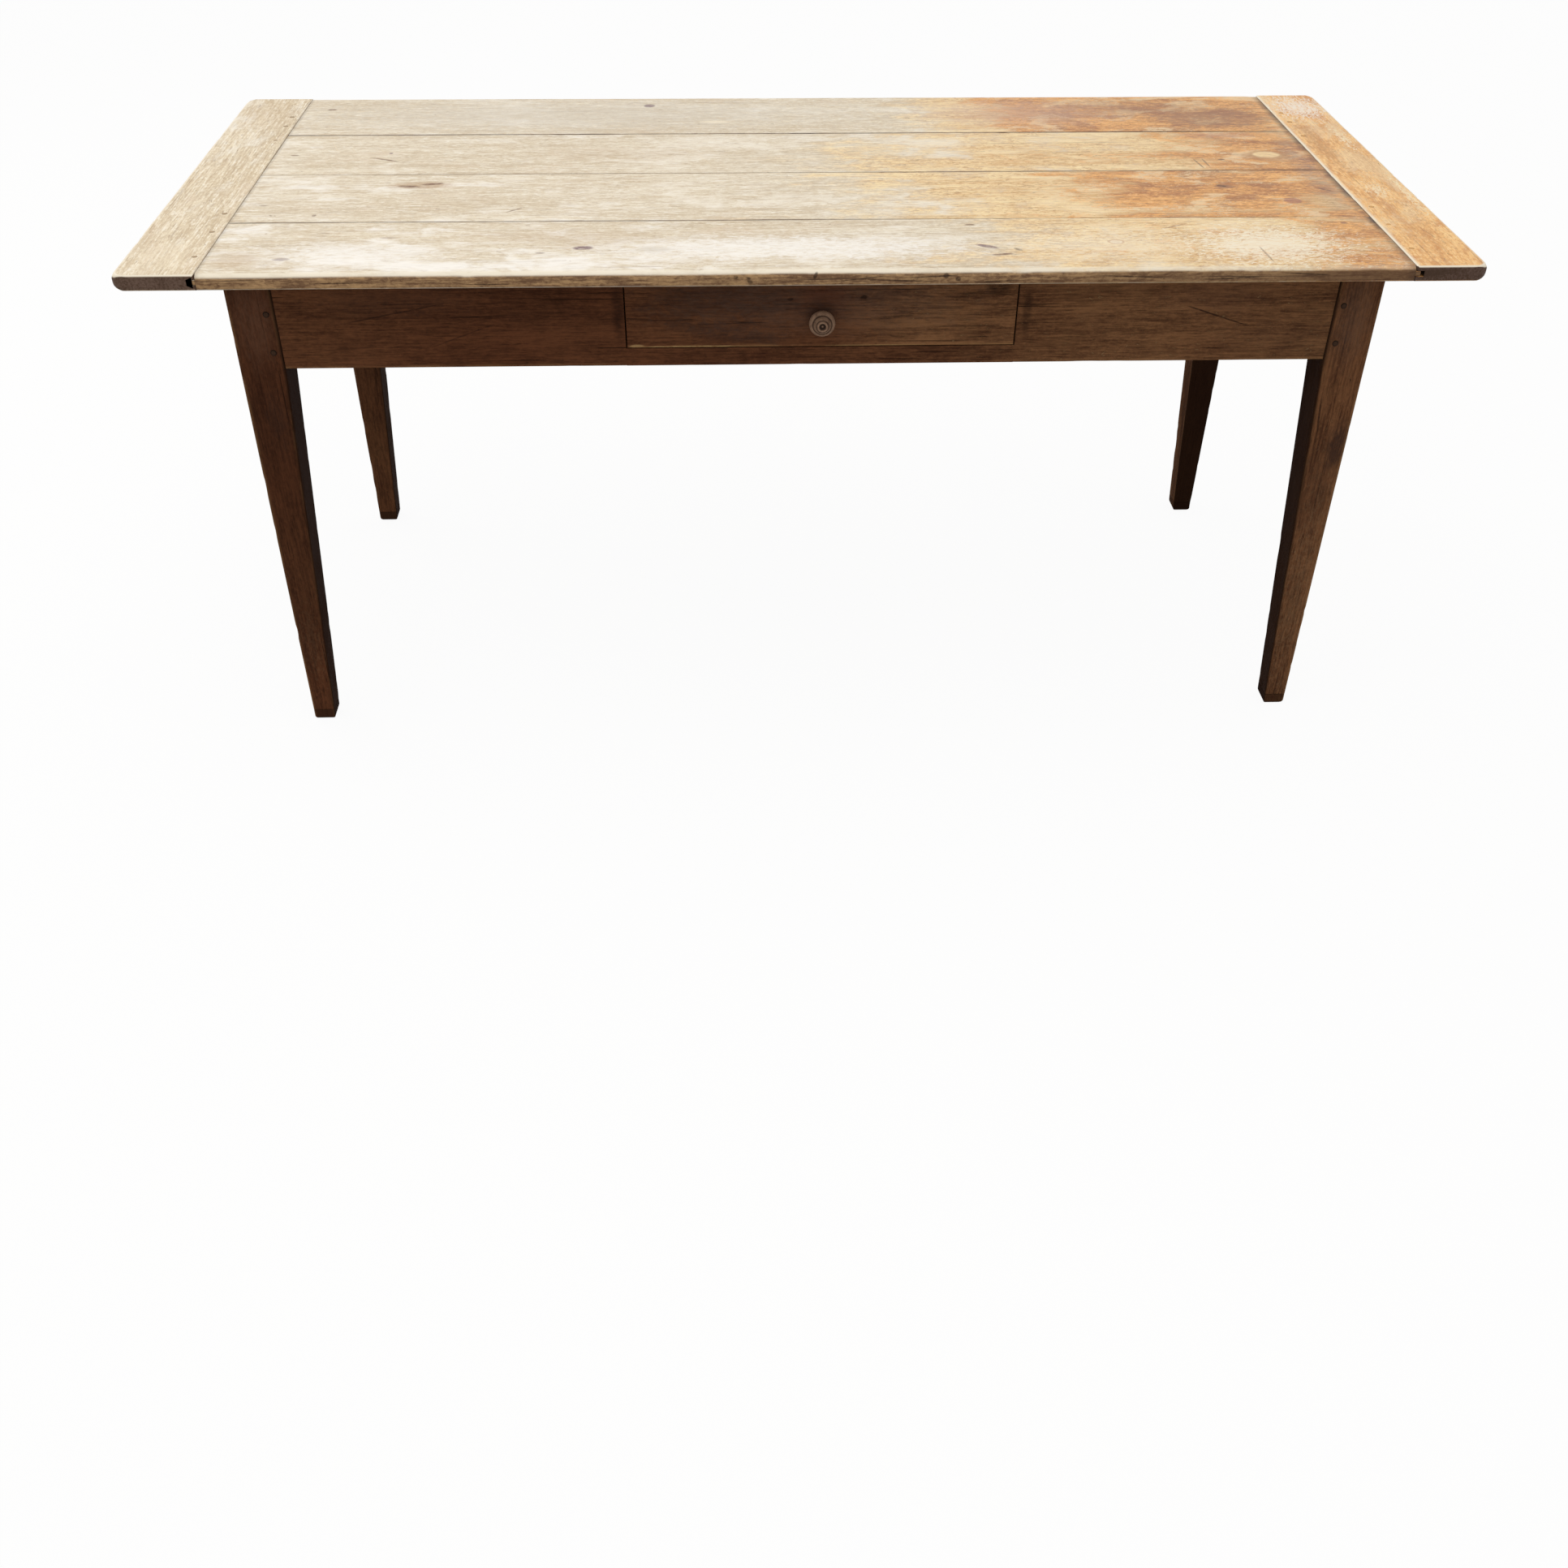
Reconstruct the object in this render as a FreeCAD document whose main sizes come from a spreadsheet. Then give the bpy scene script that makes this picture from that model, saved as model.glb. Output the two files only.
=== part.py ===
"""Farmhouse table: bread-board top, four tapered legs, pegged rails and one drawer.

Millimetres, +Z up. The origin is on the floor under the middle of the top, the drawer faces -Y.
"""

import FreeCAD, Part

import os
import Sketcher
from FreeCAD import Placement, Rotation, Vector

DIMENSIONS = {
    # Whole table
    "table_height": 750,
    "overhang_left": 126,
    "overhang_right": 114,
    "overhang_front": 57,
    "overhang_back": 57,
    # Top planks and bread-board ends
    "top_thickness": 22,
    "plank_length": 1600,
    "plank_back_width": 206,
    "plank_mid_back_width": 195,
    "plank_mid_front_width": 206,
    "plank_front_width": 193,
    "end_left_width": 110,
    "end_right_width": 100,
    "top_edge_round": 4,
    "top_corner_round": 14,
    # Tongues, grooves and tenons of the top
    "tongue_thickness": 7,
    "tongue_length": 8,
    "groove_depth": 14,
    "tenon_reach": 30,
    "tenon_margin": 17,
    "wood_fit": 0.2,
    "end_peg_inset": 14,
    "end_peg_radius": 4.5,
    "back_peg_near": 50,
    "back_peg_far": 100,
    "mid_back_peg": 25,
    "mid_front_peg": 39,
    "front_peg_near": 34,
    "front_peg_far": 128,
    # Legs and feet
    "leg_size": 62,
    "foot_width": 32,
    "foot_depth": 36,
    "foot_height": 20,
    "foot_round": 3,
    "leg_chamfer": 1.5,
    "taper_drop": 10,
    "dowel_radius": 5,
    "dowel_in_leg": 30,
    "dowel_in_foot": 12,
    # Rails, their tenons and pegs
    "rail_height": 133,
    "rail_thickness": 25,
    "rail_setback": 1.5,
    "rail_tenon_thickness": 10,
    "rail_tenon_clear": 5,
    "rail_tenon_bottom": 10,
    "rail_tenon_top": 22,
    "rail_peg_inset": 12,
    "rail_peg_low": 24,
    "rail_peg_high": 78,
    "rail_peg_radius": 4.5,
    "rail_peg_past": 12,
    "rail_peg_proud": 0.8,
    "peg_fit": 0.1,
    # Buttons that hold the top down
    "button_from_leg": 130,
    "button_length": 40,
    "button_width": 34,
    "button_height": 20,
    "button_tongue": 10,
    "button_tongue_height": 8,
    "button_screw_inset": 18,
    "screw_radius": 2,
    "screw_head_radius": 4,
    "screw_head_height": 3,
    "screw_in_top": 13,
    # Drawer opening and runners
    "opening_width": 538,
    "opening_offset": 15,
    "strip_height": 25,
    "runner_width": 46,
    "runner_bearing": 27,
    "runner_height": 20,
    "runner_tenon_length": 8,
    "runner_tenon_inset": 5,
    "guide_width": 18,
    "guide_height": 28,
    "stop_length": 30,
    "stop_width": 24,
    "stop_height": 24,
    # Drawer box
    "drawer_back_room": 98,
    "drawer_side_gap": 1.5,
    "drawer_top_gap": 2,
    "drawer_front_lift": 1,
    "drawer_lift": 0.3,
    "drawer_front_thickness": 22,
    "drawer_front_chamfer": 1,
    "drawer_side_thickness": 12,
    "drawer_side_drop": 6,
    "drawer_back_thickness": 14,
    "drawer_bottom_thickness": 8,
    "drawer_groove_height": 9,
    "drawer_groove_depth": 6,
    "tail_root_share": 0.24,
    "tail_tip_share": 0.33,
    "tail_lap": 7,
    "nail_radius": 1,
    "nail_in_back": 20,
    # Turned knob
    "knob_height": 39,
    "knob_radius": 18,
    "knob_rim_back": 12,
    "knob_rim_width": 8,
    "knob_rim_round_share": 0.4,
    "knob_crown_height": 7,
    "knob_collar_radius": 12,
    "knob_collar_length": 4,
    "knob_neck_radius": 8.5,
    "knob_crown_radius": 12.5,
    "knob_groove_width": 1.6,
    "knob_groove_depth": 1.8,
    "knob_bead_radius": 7,
    "knob_hollow_radius": 4,
    "knob_hollow_depth": 3,
    "knob_spigot_radius": 6,
    "knob_spigot_end": 2,
}

doc = FreeCAD.newDocument("FarmhouseTable")
sheet = doc.addObject("Spreadsheet::Sheet", "Dims")
for row, (alias, number) in enumerate(DIMENSIONS.items(), start=1):
    sheet.set(f"A{row}", alias)
    sheet.set(f"B{row}", str(number))
    sheet.setAlias(f"B{row}", alias)
doc.recompute()

# Positions derived from the driving sizes, as expressions
TOP_LENGTH = "(Dims.end_left_width + Dims.plank_length + Dims.end_right_width)"
TOP_WIDTH = (
    "(Dims.plank_back_width + Dims.plank_mid_back_width"
    " + Dims.plank_mid_front_width + Dims.plank_front_width)"
)
TOP_LEFT = f"(-{TOP_LENGTH} / 2)"
TOP_RIGHT = f"({TOP_LENGTH} / 2)"
TOP_FRONT = f"(-{TOP_WIDTH} / 2)"
TOP_BACK = f"({TOP_WIDTH} / 2)"
SHOULDER_LEFT = f"({TOP_LEFT} + Dims.end_left_width)"
UNDERSIDE = "(Dims.table_height - Dims.top_thickness)"

FRAME_LEFT = f"({TOP_LEFT} + Dims.overhang_left)"
FRAME_RIGHT = f"({TOP_RIGHT} - Dims.overhang_right)"
FRAME_FRONT = f"({TOP_FRONT} + Dims.overhang_front)"
FRAME_BACK = f"({TOP_BACK} - Dims.overhang_back)"
FRAME_LENGTH = f"({FRAME_RIGHT} - {FRAME_LEFT})"
FRAME_WIDTH = f"({FRAME_BACK} - {FRAME_FRONT})"
RAIL_BOTTOM = f"({UNDERSIDE} - Dims.rail_height)"
RAIL_INSIDE = "(Dims.rail_setback + Dims.rail_thickness)"

OPENING_MIDDLE = f"(({FRAME_LEFT} + {FRAME_RIGHT}) / 2 + Dims.opening_offset)"
OPENING_BOTTOM = f"({RAIL_BOTTOM} + Dims.strip_height)"
OPENING_HALF = "(Dims.opening_width / 2)"
DRAWER_HALF = f"({OPENING_HALF} - Dims.drawer_side_gap)"
DRAWER_FACE = f"({FRAME_FRONT} + Dims.rail_setback)"
DRAWER_DEPTH = f"({FRAME_WIDTH} - Dims.rail_setback - {RAIL_INSIDE} - Dims.drawer_back_room)"

# Across the thickness of the top: tongue, and the groove that takes it
MID_PLANE = "(Dims.top_thickness / 2)"
TONGUE_LOW = f"({MID_PLANE} - Dims.tongue_thickness / 2)"
TONGUE_HIGH = f"({MID_PLANE} + Dims.tongue_thickness / 2)"
GROOVE_LOW = f"({TONGUE_LOW} - Dims.wood_fit)"
GROOVE_HIGH = f"({TONGUE_HIGH} + Dims.wood_fit)"
PEG_HOLE = "(Dims.end_peg_radius + Dims.peg_fit)"


def value(expression):
    """Number that an expression has with the sizes in the sheet."""
    return float(sheet.evalExpression(expression))


def new_body(label, x="0", y="0", z="0", turn=0):
    """Empty body at a place given by expressions, turned about the vertical by whole degrees."""
    body = doc.addObject("PartDesign::Body", label)
    body.Label = label
    place(body, x, y, z, Rotation(Vector(0, 0, 1), turn))
    return body


def place(item, x, y, z, rotation):
    """Bind an object's position to expressions and set its rotation."""
    item.Placement = Placement(Vector(value(x), value(y), value(z)), rotation)
    item.setExpression("Placement.Base.x", x)
    item.setExpression("Placement.Base.y", y)
    item.setExpression("Placement.Base.z", z)


def new_sketch(body, name, plane, start):
    """Sketch on a plane of the body's origin, moved to `start` along the axis across that plane."""
    sketch = body.newObject("Sketcher::SketchObject", name)
    origin_plane = next(item for item in body.Origin.OriginFeatures if item.Role == f"{plane}_Plane")
    sketch.AttachmentSupport = (origin_plane, [""])
    sketch.MapMode = "FlatFace"
    sketch.setExpression("AttachmentOffset.Base.z", f"-({start})" if plane == "XZ" else start)
    return sketch


def fix_point(sketch, geometry, point, corner):
    """Tie a point of the sketch to the sketch's origin with two bound distances."""
    for kind, expression in zip(("DistanceX", "DistanceY"), corner):
        constraint = Sketcher.Constraint(kind, -1, 1, geometry, point, value(expression))
        index = sketch.addConstraint(constraint)
        sketch.setExpression(f"Constraints[{index}]", expression)


def polygon(sketch, corners):
    """Closed outline through corners, which are pairs of expressions."""
    points = [Vector(value(across), value(up), 0) for across, up in corners]
    first = len(sketch.Geometry)
    for here, there in zip(points, points[1:] + points[:1]):
        sketch.addGeometry(Part.LineSegment(here, there))
    for number, corner in enumerate(corners):
        before = first + (number - 1) % len(corners)
        sketch.addConstraint(Sketcher.Constraint("Coincident", before, 2, first + number, 1))
        fix_point(sketch, first + number, 1, corner)


def circle(sketch, centre, radius):
    """Circle with a bound centre and radius."""
    middle = Vector(value(centre[0]), value(centre[1]), 0)
    geometry = sketch.addGeometry(Part.Circle(middle, Vector(0, 0, 1), value(radius)))
    fix_point(sketch, geometry, 3, centre)
    index = sketch.addConstraint(Sketcher.Constraint("Radius", geometry, value(radius)))
    sketch.setExpression(f"Constraints[{index}]", radius)


def rectangle(low_across, low_up, high_across, high_up):
    """Corners of a rectangle between two opposite ones."""
    return [
        (low_across, low_up),
        (high_across, low_up),
        (high_across, high_up),
        (low_across, high_up),
    ]


def extrude(body, kind, sketch, plane, length):
    """Pad or Pocket of a sketch, always along the positive axis across its plane."""
    feature = body.newObject(f"PartDesign::{kind}", f"{sketch.Name}_{kind}")
    feature.Profile = sketch
    feature.setExpression("Length", length)
    feature.Reversed = (kind == "Pad") == (plane == "XZ")
    sketch.Visibility = False
    return feature


def pad(body, name, plane, start, length, corners):
    """Add a prism with a polygon outline."""
    sketch = new_sketch(body, name, plane, start)
    polygon(sketch, corners)
    return extrude(body, "Pad", sketch, plane, length)


def pocket(body, name, plane, start, length, *outlines):
    """Cut prisms with polygon outlines, all from the same start."""
    sketch = new_sketch(body, name, plane, start)
    for corners in outlines:
        polygon(sketch, corners)
    return extrude(body, "Pocket", sketch, plane, length)


def drill(body, name, plane, start, length, radius, centres):
    """Cut round holes of one radius and depth."""
    sketch = new_sketch(body, name, plane, start)
    for centre in centres:
        circle(sketch, centre, radius)
    return extrude(body, "Pocket", sketch, plane, length)


def dress(body, kind, name, size_name, size, wanted):
    """Fillet or Chamfer on the edges of the tip for which `wanted` is true."""
    doc.recompute()
    base = body.Tip
    edges = [f"Edge{number}" for number, edge in enumerate(base.Shape.Edges, start=1) if wanted(edge)]
    feature = body.newObject(f"PartDesign::{kind}", f"{body.Name}_{name}")
    feature.Base = (base, edges)
    feature.setExpression(size_name, size)
    return feature


def edge_span(edge):
    """Extent of an edge along x, y and z."""
    box = edge.BoundBox
    return Vector(box.XLength, box.YLength, box.ZLength)


def near(first, second):
    """True if two lengths agree to a thousandth of a millimetre."""
    return abs(first - second) < 0.001


def group(label, items):
    """One compound of several like pieces."""
    compound = doc.addObject("Part::Compound", label)
    compound.Label = label
    compound.Links = items
    return compound


def rod(name, x, y, z, rotation, radius, length):
    """Round rod from a point, along the rotated z axis."""
    item = doc.addObject("Part::Cylinder", name)
    item.setExpression("Radius", radius)
    item.setExpression("Height", length)
    place(item, x, y, z, rotation)
    return item


class Plank:
    """One plank of the top: where it lies, its edge joints and the pegs through its tenons."""

    def __init__(self, name, front, pegs, tongue, groove):
        self.label = f"top_{name}"
        self.width = f"Dims.{name}_width"
        self.front = front
        self.pegs = [f"({peg})" for peg in pegs]
        self.tongue = tongue
        self.groove = groove

    def tenon(self, play):
        """Front and back of the tenon in the plank's own frame, grown by `play` on each side."""
        return (
            f"({self.pegs[0]} - Dims.tenon_margin - {play})",
            f"({self.pegs[-1]} + Dims.tenon_margin + {play})",
        )


# Front edge of each plank, counted from the front of the table
FRONT_MID_FRONT = f"({TOP_FRONT} + Dims.plank_front_width)"
FRONT_MID_BACK = f"({FRONT_MID_FRONT} + Dims.plank_mid_front_width)"
FRONT_BACK = f"({FRONT_MID_BACK} + Dims.plank_mid_back_width)"

PLANKS = [
    Plank(
        "plank_front",
        TOP_FRONT,
        [
            "Dims.plank_front_width - Dims.front_peg_far",
            "Dims.plank_front_width - Dims.front_peg_near",
        ],
        tongue=True,
        groove=False,
    ),
    Plank(
        "plank_mid_front",
        FRONT_MID_FRONT,
        ["Dims.mid_front_peg"],
        tongue=True,
        groove=True,
    ),
    Plank(
        "plank_mid_back",
        FRONT_MID_BACK,
        ["Dims.plank_mid_back_width - Dims.mid_back_peg"],
        tongue=True,
        groove=True,
    ),
    Plank(
        "plank_back",
        FRONT_BACK,
        ["Dims.back_peg_near", "Dims.back_peg_far"],
        tongue=False,
        groove=True,
    ),
]


class Side:
    """One side of the frame, seen from outside: x runs along it from one leg's corner, y goes inward."""

    def __init__(self, name, leg, turn, x, y, length, buttons):
        self.name = name
        self.leg = leg
        self.turn = turn
        self.x = x
        self.y = y
        self.length = length
        self.buttons = buttons

    def place_of(self, along, inward):
        """Position in the table's frame of a point of this side, as two expressions."""
        return {
            0: (f"{self.x} + {along}", f"{self.y} + {inward}"),
            90: (f"{self.x} - {inward}", f"{self.y} + {along}"),
            180: (f"{self.x} - {along}", f"{self.y} - {inward}"),
            270: (f"{self.x} + {inward}", f"{self.y} - {along}"),
        }[self.turn]

    def rotation(self):
        """Turn of this side about the vertical."""
        return Rotation(Vector(0, 0, 1), self.turn)


# Buttons lie beside the drawer at the front, and under the middle planks at the ends
BUTTON_BESIDE_DRAWER = "(Dims.leg_size + Dims.button_from_leg)"
MIDDLE_FRONT_BUTTON = f"({FRONT_MID_FRONT} + Dims.plank_mid_front_width / 2)"
MIDDLE_BACK_BUTTON = f"({FRONT_MID_BACK} + Dims.plank_mid_back_width / 2)"

SIDES = [
    Side(
        "front_rail",
        "front_left",
        0,
        FRAME_LEFT,
        FRAME_FRONT,
        FRAME_LENGTH,
        [BUTTON_BESIDE_DRAWER, f"({FRAME_LENGTH} - {BUTTON_BESIDE_DRAWER})"],
    ),
    Side(
        "end_rail_right",
        "front_right",
        90,
        FRAME_RIGHT,
        FRAME_FRONT,
        FRAME_WIDTH,
        [f"({MIDDLE_FRONT_BUTTON} - {FRAME_FRONT})", f"({MIDDLE_BACK_BUTTON} - {FRAME_FRONT})"],
    ),
    Side(
        "back_rail",
        "back_right",
        180,
        FRAME_RIGHT,
        FRAME_BACK,
        FRAME_LENGTH,
        [BUTTON_BESIDE_DRAWER, f"({FRAME_LENGTH} - {BUTTON_BESIDE_DRAWER})"],
    ),
    Side(
        "end_rail_left",
        "back_left",
        270,
        FRAME_LEFT,
        FRAME_BACK,
        FRAME_WIDTH,
        [f"({FRAME_BACK} - {MIDDLE_BACK_BUTTON})", f"({FRAME_BACK} - {MIDDLE_FRONT_BUTTON})"],
    ),
]

# Heights of the rail joints above the floor, and the tenon's place across the rail
TENON_FACE = "(Dims.rail_setback + (Dims.rail_thickness - Dims.rail_tenon_thickness) / 2)"
TENON_BACK = f"({TENON_FACE} + Dims.rail_tenon_thickness)"
TENON_LENGTH = f"(Dims.leg_size - {TENON_BACK} - Dims.rail_tenon_clear)"
TENON_LOW = f"({RAIL_BOTTOM} + Dims.rail_tenon_bottom)"
TENON_HIGH = f"({UNDERSIDE} - Dims.rail_tenon_top)"
PEG_HEIGHTS = [f"({RAIL_BOTTOM} + Dims.rail_peg_low)", f"({RAIL_BOTTOM} + Dims.rail_peg_high)"]
PEG_ALONG = "(Dims.leg_size - Dims.rail_peg_inset)"
RAIL_PEG_HOLE = "(Dims.rail_peg_radius + Dims.peg_fit)"
RAIL_PEG_DEPTH = f"({TENON_BACK} + Dims.rail_peg_past)"


def screw_points(plank):
    """Pilot holes for the button screws in one plank, in the plank's own frame."""
    points = []
    for side in SIDES:
        for along in side.buttons:
            x, y = side.place_of(along, f"({RAIL_INSIDE} + Dims.button_screw_inset)")
            inside = f"({y} - {plank.front})"
            if 0 < value(inside) < value(plank.width):
                points.append((f"({x} - {SHOULDER_LEFT})", inside))
    return points


def make_plank(plank):
    """Plank with its edge joints, end tongues, tenons, peg holes and pilot holes."""
    body = new_body(plank.label, SHOULDER_LEFT, plank.front, UNDERSIDE)
    outline = [("0", "0"), (plank.width, "0")]
    if plank.tongue:
        tip = f"({plank.width} + Dims.tongue_length)"
        outline += [(plank.width, TONGUE_LOW), (tip, TONGUE_LOW)]
        outline += [(tip, TONGUE_HIGH), (plank.width, TONGUE_HIGH)]
    outline += [(plank.width, "Dims.top_thickness"), ("0", "Dims.top_thickness")]
    if plank.groove:
        floor = "(Dims.tongue_length + Dims.wood_fit)"
        outline += [("0", GROOVE_HIGH), (floor, GROOVE_HIGH), (floor, GROOVE_LOW), ("0", GROOVE_LOW)]
    pad(body, f"{plank.label}_section", "YZ", "0", "Dims.plank_length", outline)
    round_long_edges(body, plank)

    stub = rectangle("0", TONGUE_LOW, plank.width, TONGUE_HIGH)
    tenon_front, tenon_back = plank.tenon("0")
    tenon = rectangle(tenon_front, TONGUE_LOW, tenon_back, TONGUE_HIGH)
    pad(body, f"{plank.label}_stub_left", "YZ", "-Dims.tongue_length", "Dims.tongue_length", stub)
    pad(body, f"{plank.label}_stub_right", "YZ", "Dims.plank_length", "Dims.tongue_length", stub)
    pad(body, f"{plank.label}_tenon_left", "YZ", "-Dims.tenon_reach", "Dims.tenon_reach", tenon)
    pad(body, f"{plank.label}_tenon_right", "YZ", "Dims.plank_length", "Dims.tenon_reach", tenon)
    peg_centres = [("-Dims.end_peg_inset", peg) for peg in plank.pegs]
    peg_centres += [("(Dims.plank_length + Dims.end_peg_inset)", peg) for peg in plank.pegs]
    drill(body, f"{plank.label}_pegs", "XY", "0", "Dims.top_thickness", PEG_HOLE, peg_centres)
    pilot = "(Dims.screw_radius + Dims.peg_fit)"
    drill(body, f"{plank.label}_pilots", "XY", "0", "Dims.screw_in_top", pilot, screw_points(plank))


def round_long_edges(body, plank):
    """Round the outer long edge of the front and the back plank, above and below."""
    if plank.tongue and plank.groove:
        return
    outer = 0 if plank.tongue else value(plank.width)
    lengthwise = value("Dims.plank_length")

    def wanted(edge):
        return near(edge_span(edge).x, lengthwise) and near(edge.BoundBox.YMin, outer)

    dress(body, "Fillet", "nosing", "Radius", "Dims.top_edge_round", wanted)


def make_end(name, inward, outer):
    """Bread-board end; `inward` is +1 for the left end and -1 for the right one."""
    label = f"breadboard_{name}"
    width = f"Dims.end_{name}_width"
    body = new_body(label, outer, TOP_FRONT, UNDERSIDE)
    shoulder = f"({inward} * {width})"
    floor = f"({inward} * ({width} - Dims.groove_depth))"
    outline = [
        ("0", "0"),
        (shoulder, "0"),
        (shoulder, GROOVE_LOW),
        (floor, GROOVE_LOW),
        (floor, GROOVE_HIGH),
        (shoulder, GROOVE_HIGH),
        (shoulder, "Dims.top_thickness"),
        ("0", "Dims.top_thickness"),
    ]
    pad(body, f"{label}_section", "XZ", "0", TOP_WIDTH, outline)
    thickness = value("Dims.top_thickness")

    def corner(edge):
        return near(edge_span(edge).z, thickness) and near(edge.BoundBox.XMin, 0)

    dress(body, "Fillet", "corners", "Radius", "Dims.top_corner_round", corner)
    far = abs(value(width)) - value("Dims.groove_depth")

    def rim(edge):
        flat = near(edge.BoundBox.ZLength, 0)
        level = near(edge.BoundBox.ZMin, 0) or near(edge.BoundBox.ZMin, thickness)
        return flat and level and abs(edge.CenterOfMass.x) < far

    dress(body, "Fillet", "nosing", "Radius", "Dims.top_edge_round", rim)

    mortise_depth = "(Dims.tenon_reach + Dims.wood_fit)"
    start = f"({shoulder} - {mortise_depth})" if inward > 0 else shoulder
    mortises = []
    for plank in PLANKS:
        offset = f"({plank.front} - {TOP_FRONT})"
        tenon_front, tenon_back = plank.tenon("Dims.wood_fit")
        low, high = f"({offset} + {tenon_front})", f"({offset} + {tenon_back})"
        mortises.append(rectangle(low, GROOVE_LOW, high, GROOVE_HIGH))
    pocket(body, f"{label}_mortises", "YZ", start, mortise_depth, *mortises)
    peg_x = f"({inward} * ({width} - Dims.end_peg_inset))"
    centres = [
        (peg_x, f"({plank.front} - {TOP_FRONT} + {peg})") for plank in PLANKS for peg in plank.pegs
    ]
    drill(body, f"{label}_pegs", "XY", "0", "Dims.top_thickness", PEG_HOLE, centres)


def make_end_pegs(name, inward, outer):
    """Pegs that lock the planks' tenons in one bread-board end."""
    x = f"({outer} + {inward} * (Dims.end_{name}_width - Dims.end_peg_inset))"
    pegs = []
    for plank in PLANKS:
        for peg in plank.pegs:
            y = f"({plank.front} + {peg})"
            item = f"end_peg_{name}_{len(pegs)}"
            pegs.append(rod(item, x, y, UNDERSIDE, Rotation(), "Dims.end_peg_radius", "Dims.top_thickness"))
    group(f"breadboard_pegs_{name}", pegs)


def make_top():
    """Planks, bread-board ends and their pegs."""
    for plank in PLANKS:
        make_plank(plank)
    for name, inward, outer in (("left", 1, TOP_LEFT), ("right", -1, TOP_RIGHT)):
        make_end(name, inward, outer)
        make_end_pegs(name, inward, outer)


def tapered_post(body, low, height, foot_along, foot_across):
    """Square post whose two inner faces run in below the rails, from `low` upward."""
    square = rectangle("0", "0", "Dims.leg_size", "Dims.leg_size")
    pad(body, f"{body.Label}_square", "XY", low, height, square)
    taper_top = f"({RAIL_BOTTOM} - Dims.taper_drop)"
    for plane, foot in (("XZ", foot_along), ("YZ", foot_across)):
        wedge = [("Dims.leg_size", taper_top), (foot, "0"), ("Dims.leg_size", "0")]
        pocket(body, f"{body.Label}_taper_{plane}", plane, "0", "Dims.leg_size", wedge)


def make_leg(side):
    """Leg at the start of a side, with mortises, peg holes and a dowel hole, and the foot under it."""
    foot_along, foot_across = "Dims.foot_width", "Dims.foot_depth"
    if side.turn in (90, 270):
        foot_along, foot_across = foot_across, foot_along
    dowel_centre = [(f"({foot_along} / 2)", f"({foot_across} / 2)")]
    dowel_hole = "(Dims.dowel_radius + Dims.peg_fit)"

    leg = new_body(f"leg_{side.leg}", side.x, side.y, "0", side.turn)
    tapered_post(leg, "Dims.foot_height", f"({UNDERSIDE} - Dims.foot_height)", foot_along, foot_across)
    full = value("Dims.leg_size")

    def outer_arris(edge):
        upright = edge_span(edge).z > value("Dims.rail_height")
        middle = edge.CenterOfMass
        on_corner = near(middle.x, 0) and near(middle.y, 0)
        beside = (near(middle.x, 0) or near(middle.y, 0)) and middle.x + middle.y < full
        return upright and (on_corner or beside)

    dress(leg, "Chamfer", "arris", "Size", "Dims.leg_chamfer", outer_arris)
    mortise_depth = f"({TENON_LENGTH} + Dims.wood_fit)"
    mortise_start = f"(Dims.leg_size - {mortise_depth})"
    mortise = rectangle(
        f"({TENON_FACE} - Dims.wood_fit)",
        f"({TENON_LOW} - Dims.wood_fit)",
        f"({TENON_BACK} + Dims.wood_fit)",
        f"({TENON_HIGH} + Dims.wood_fit)",
    )
    peg_centres = [(PEG_ALONG, height) for height in PEG_HEIGHTS]
    for plane in ("YZ", "XZ"):
        pocket(leg, f"{leg.Label}_mortise_{plane}", plane, mortise_start, mortise_depth, mortise)
        drill(leg, f"{leg.Label}_pegs_{plane}", plane, "0", RAIL_PEG_DEPTH, RAIL_PEG_HOLE, peg_centres)
    dowel_depth = "(Dims.dowel_in_leg + Dims.wood_fit)"
    drill(leg, f"{leg.Label}_dowel", "XY", "Dims.foot_height", dowel_depth, dowel_hole, dowel_centre)

    foot = new_body(f"foot_{side.leg}", side.x, side.y, "0", side.turn)
    tapered_post(foot, "0", "Dims.foot_height", foot_along, foot_across)

    def sole(edge):
        return near(edge.BoundBox.ZMax, 0)

    dress(foot, "Fillet", "sole", "Radius", "Dims.foot_round", sole)
    foot_depth = "(Dims.dowel_in_foot + Dims.wood_fit)"
    foot_start = f"(Dims.foot_height - {foot_depth})"
    drill(foot, f"{foot.Label}_dowel", "XY", foot_start, foot_depth, dowel_hole, dowel_centre)


def make_foot_dowels():
    """Dowels between the legs and their foot blocks."""
    dowels = []
    for side in SIDES:
        along, across = "(Dims.foot_width / 2)", "(Dims.foot_depth / 2)"
        if side.turn in (90, 270):
            along, across = across, along
        x, y = side.place_of(along, across)
        low = "(Dims.foot_height - Dims.dowel_in_foot)"
        length = "(Dims.dowel_in_foot + Dims.dowel_in_leg)"
        dowels.append(rod(f"dowel_{side.leg}", x, y, low, Rotation(), "Dims.dowel_radius", length))
    group("foot_dowels", dowels)


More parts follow.
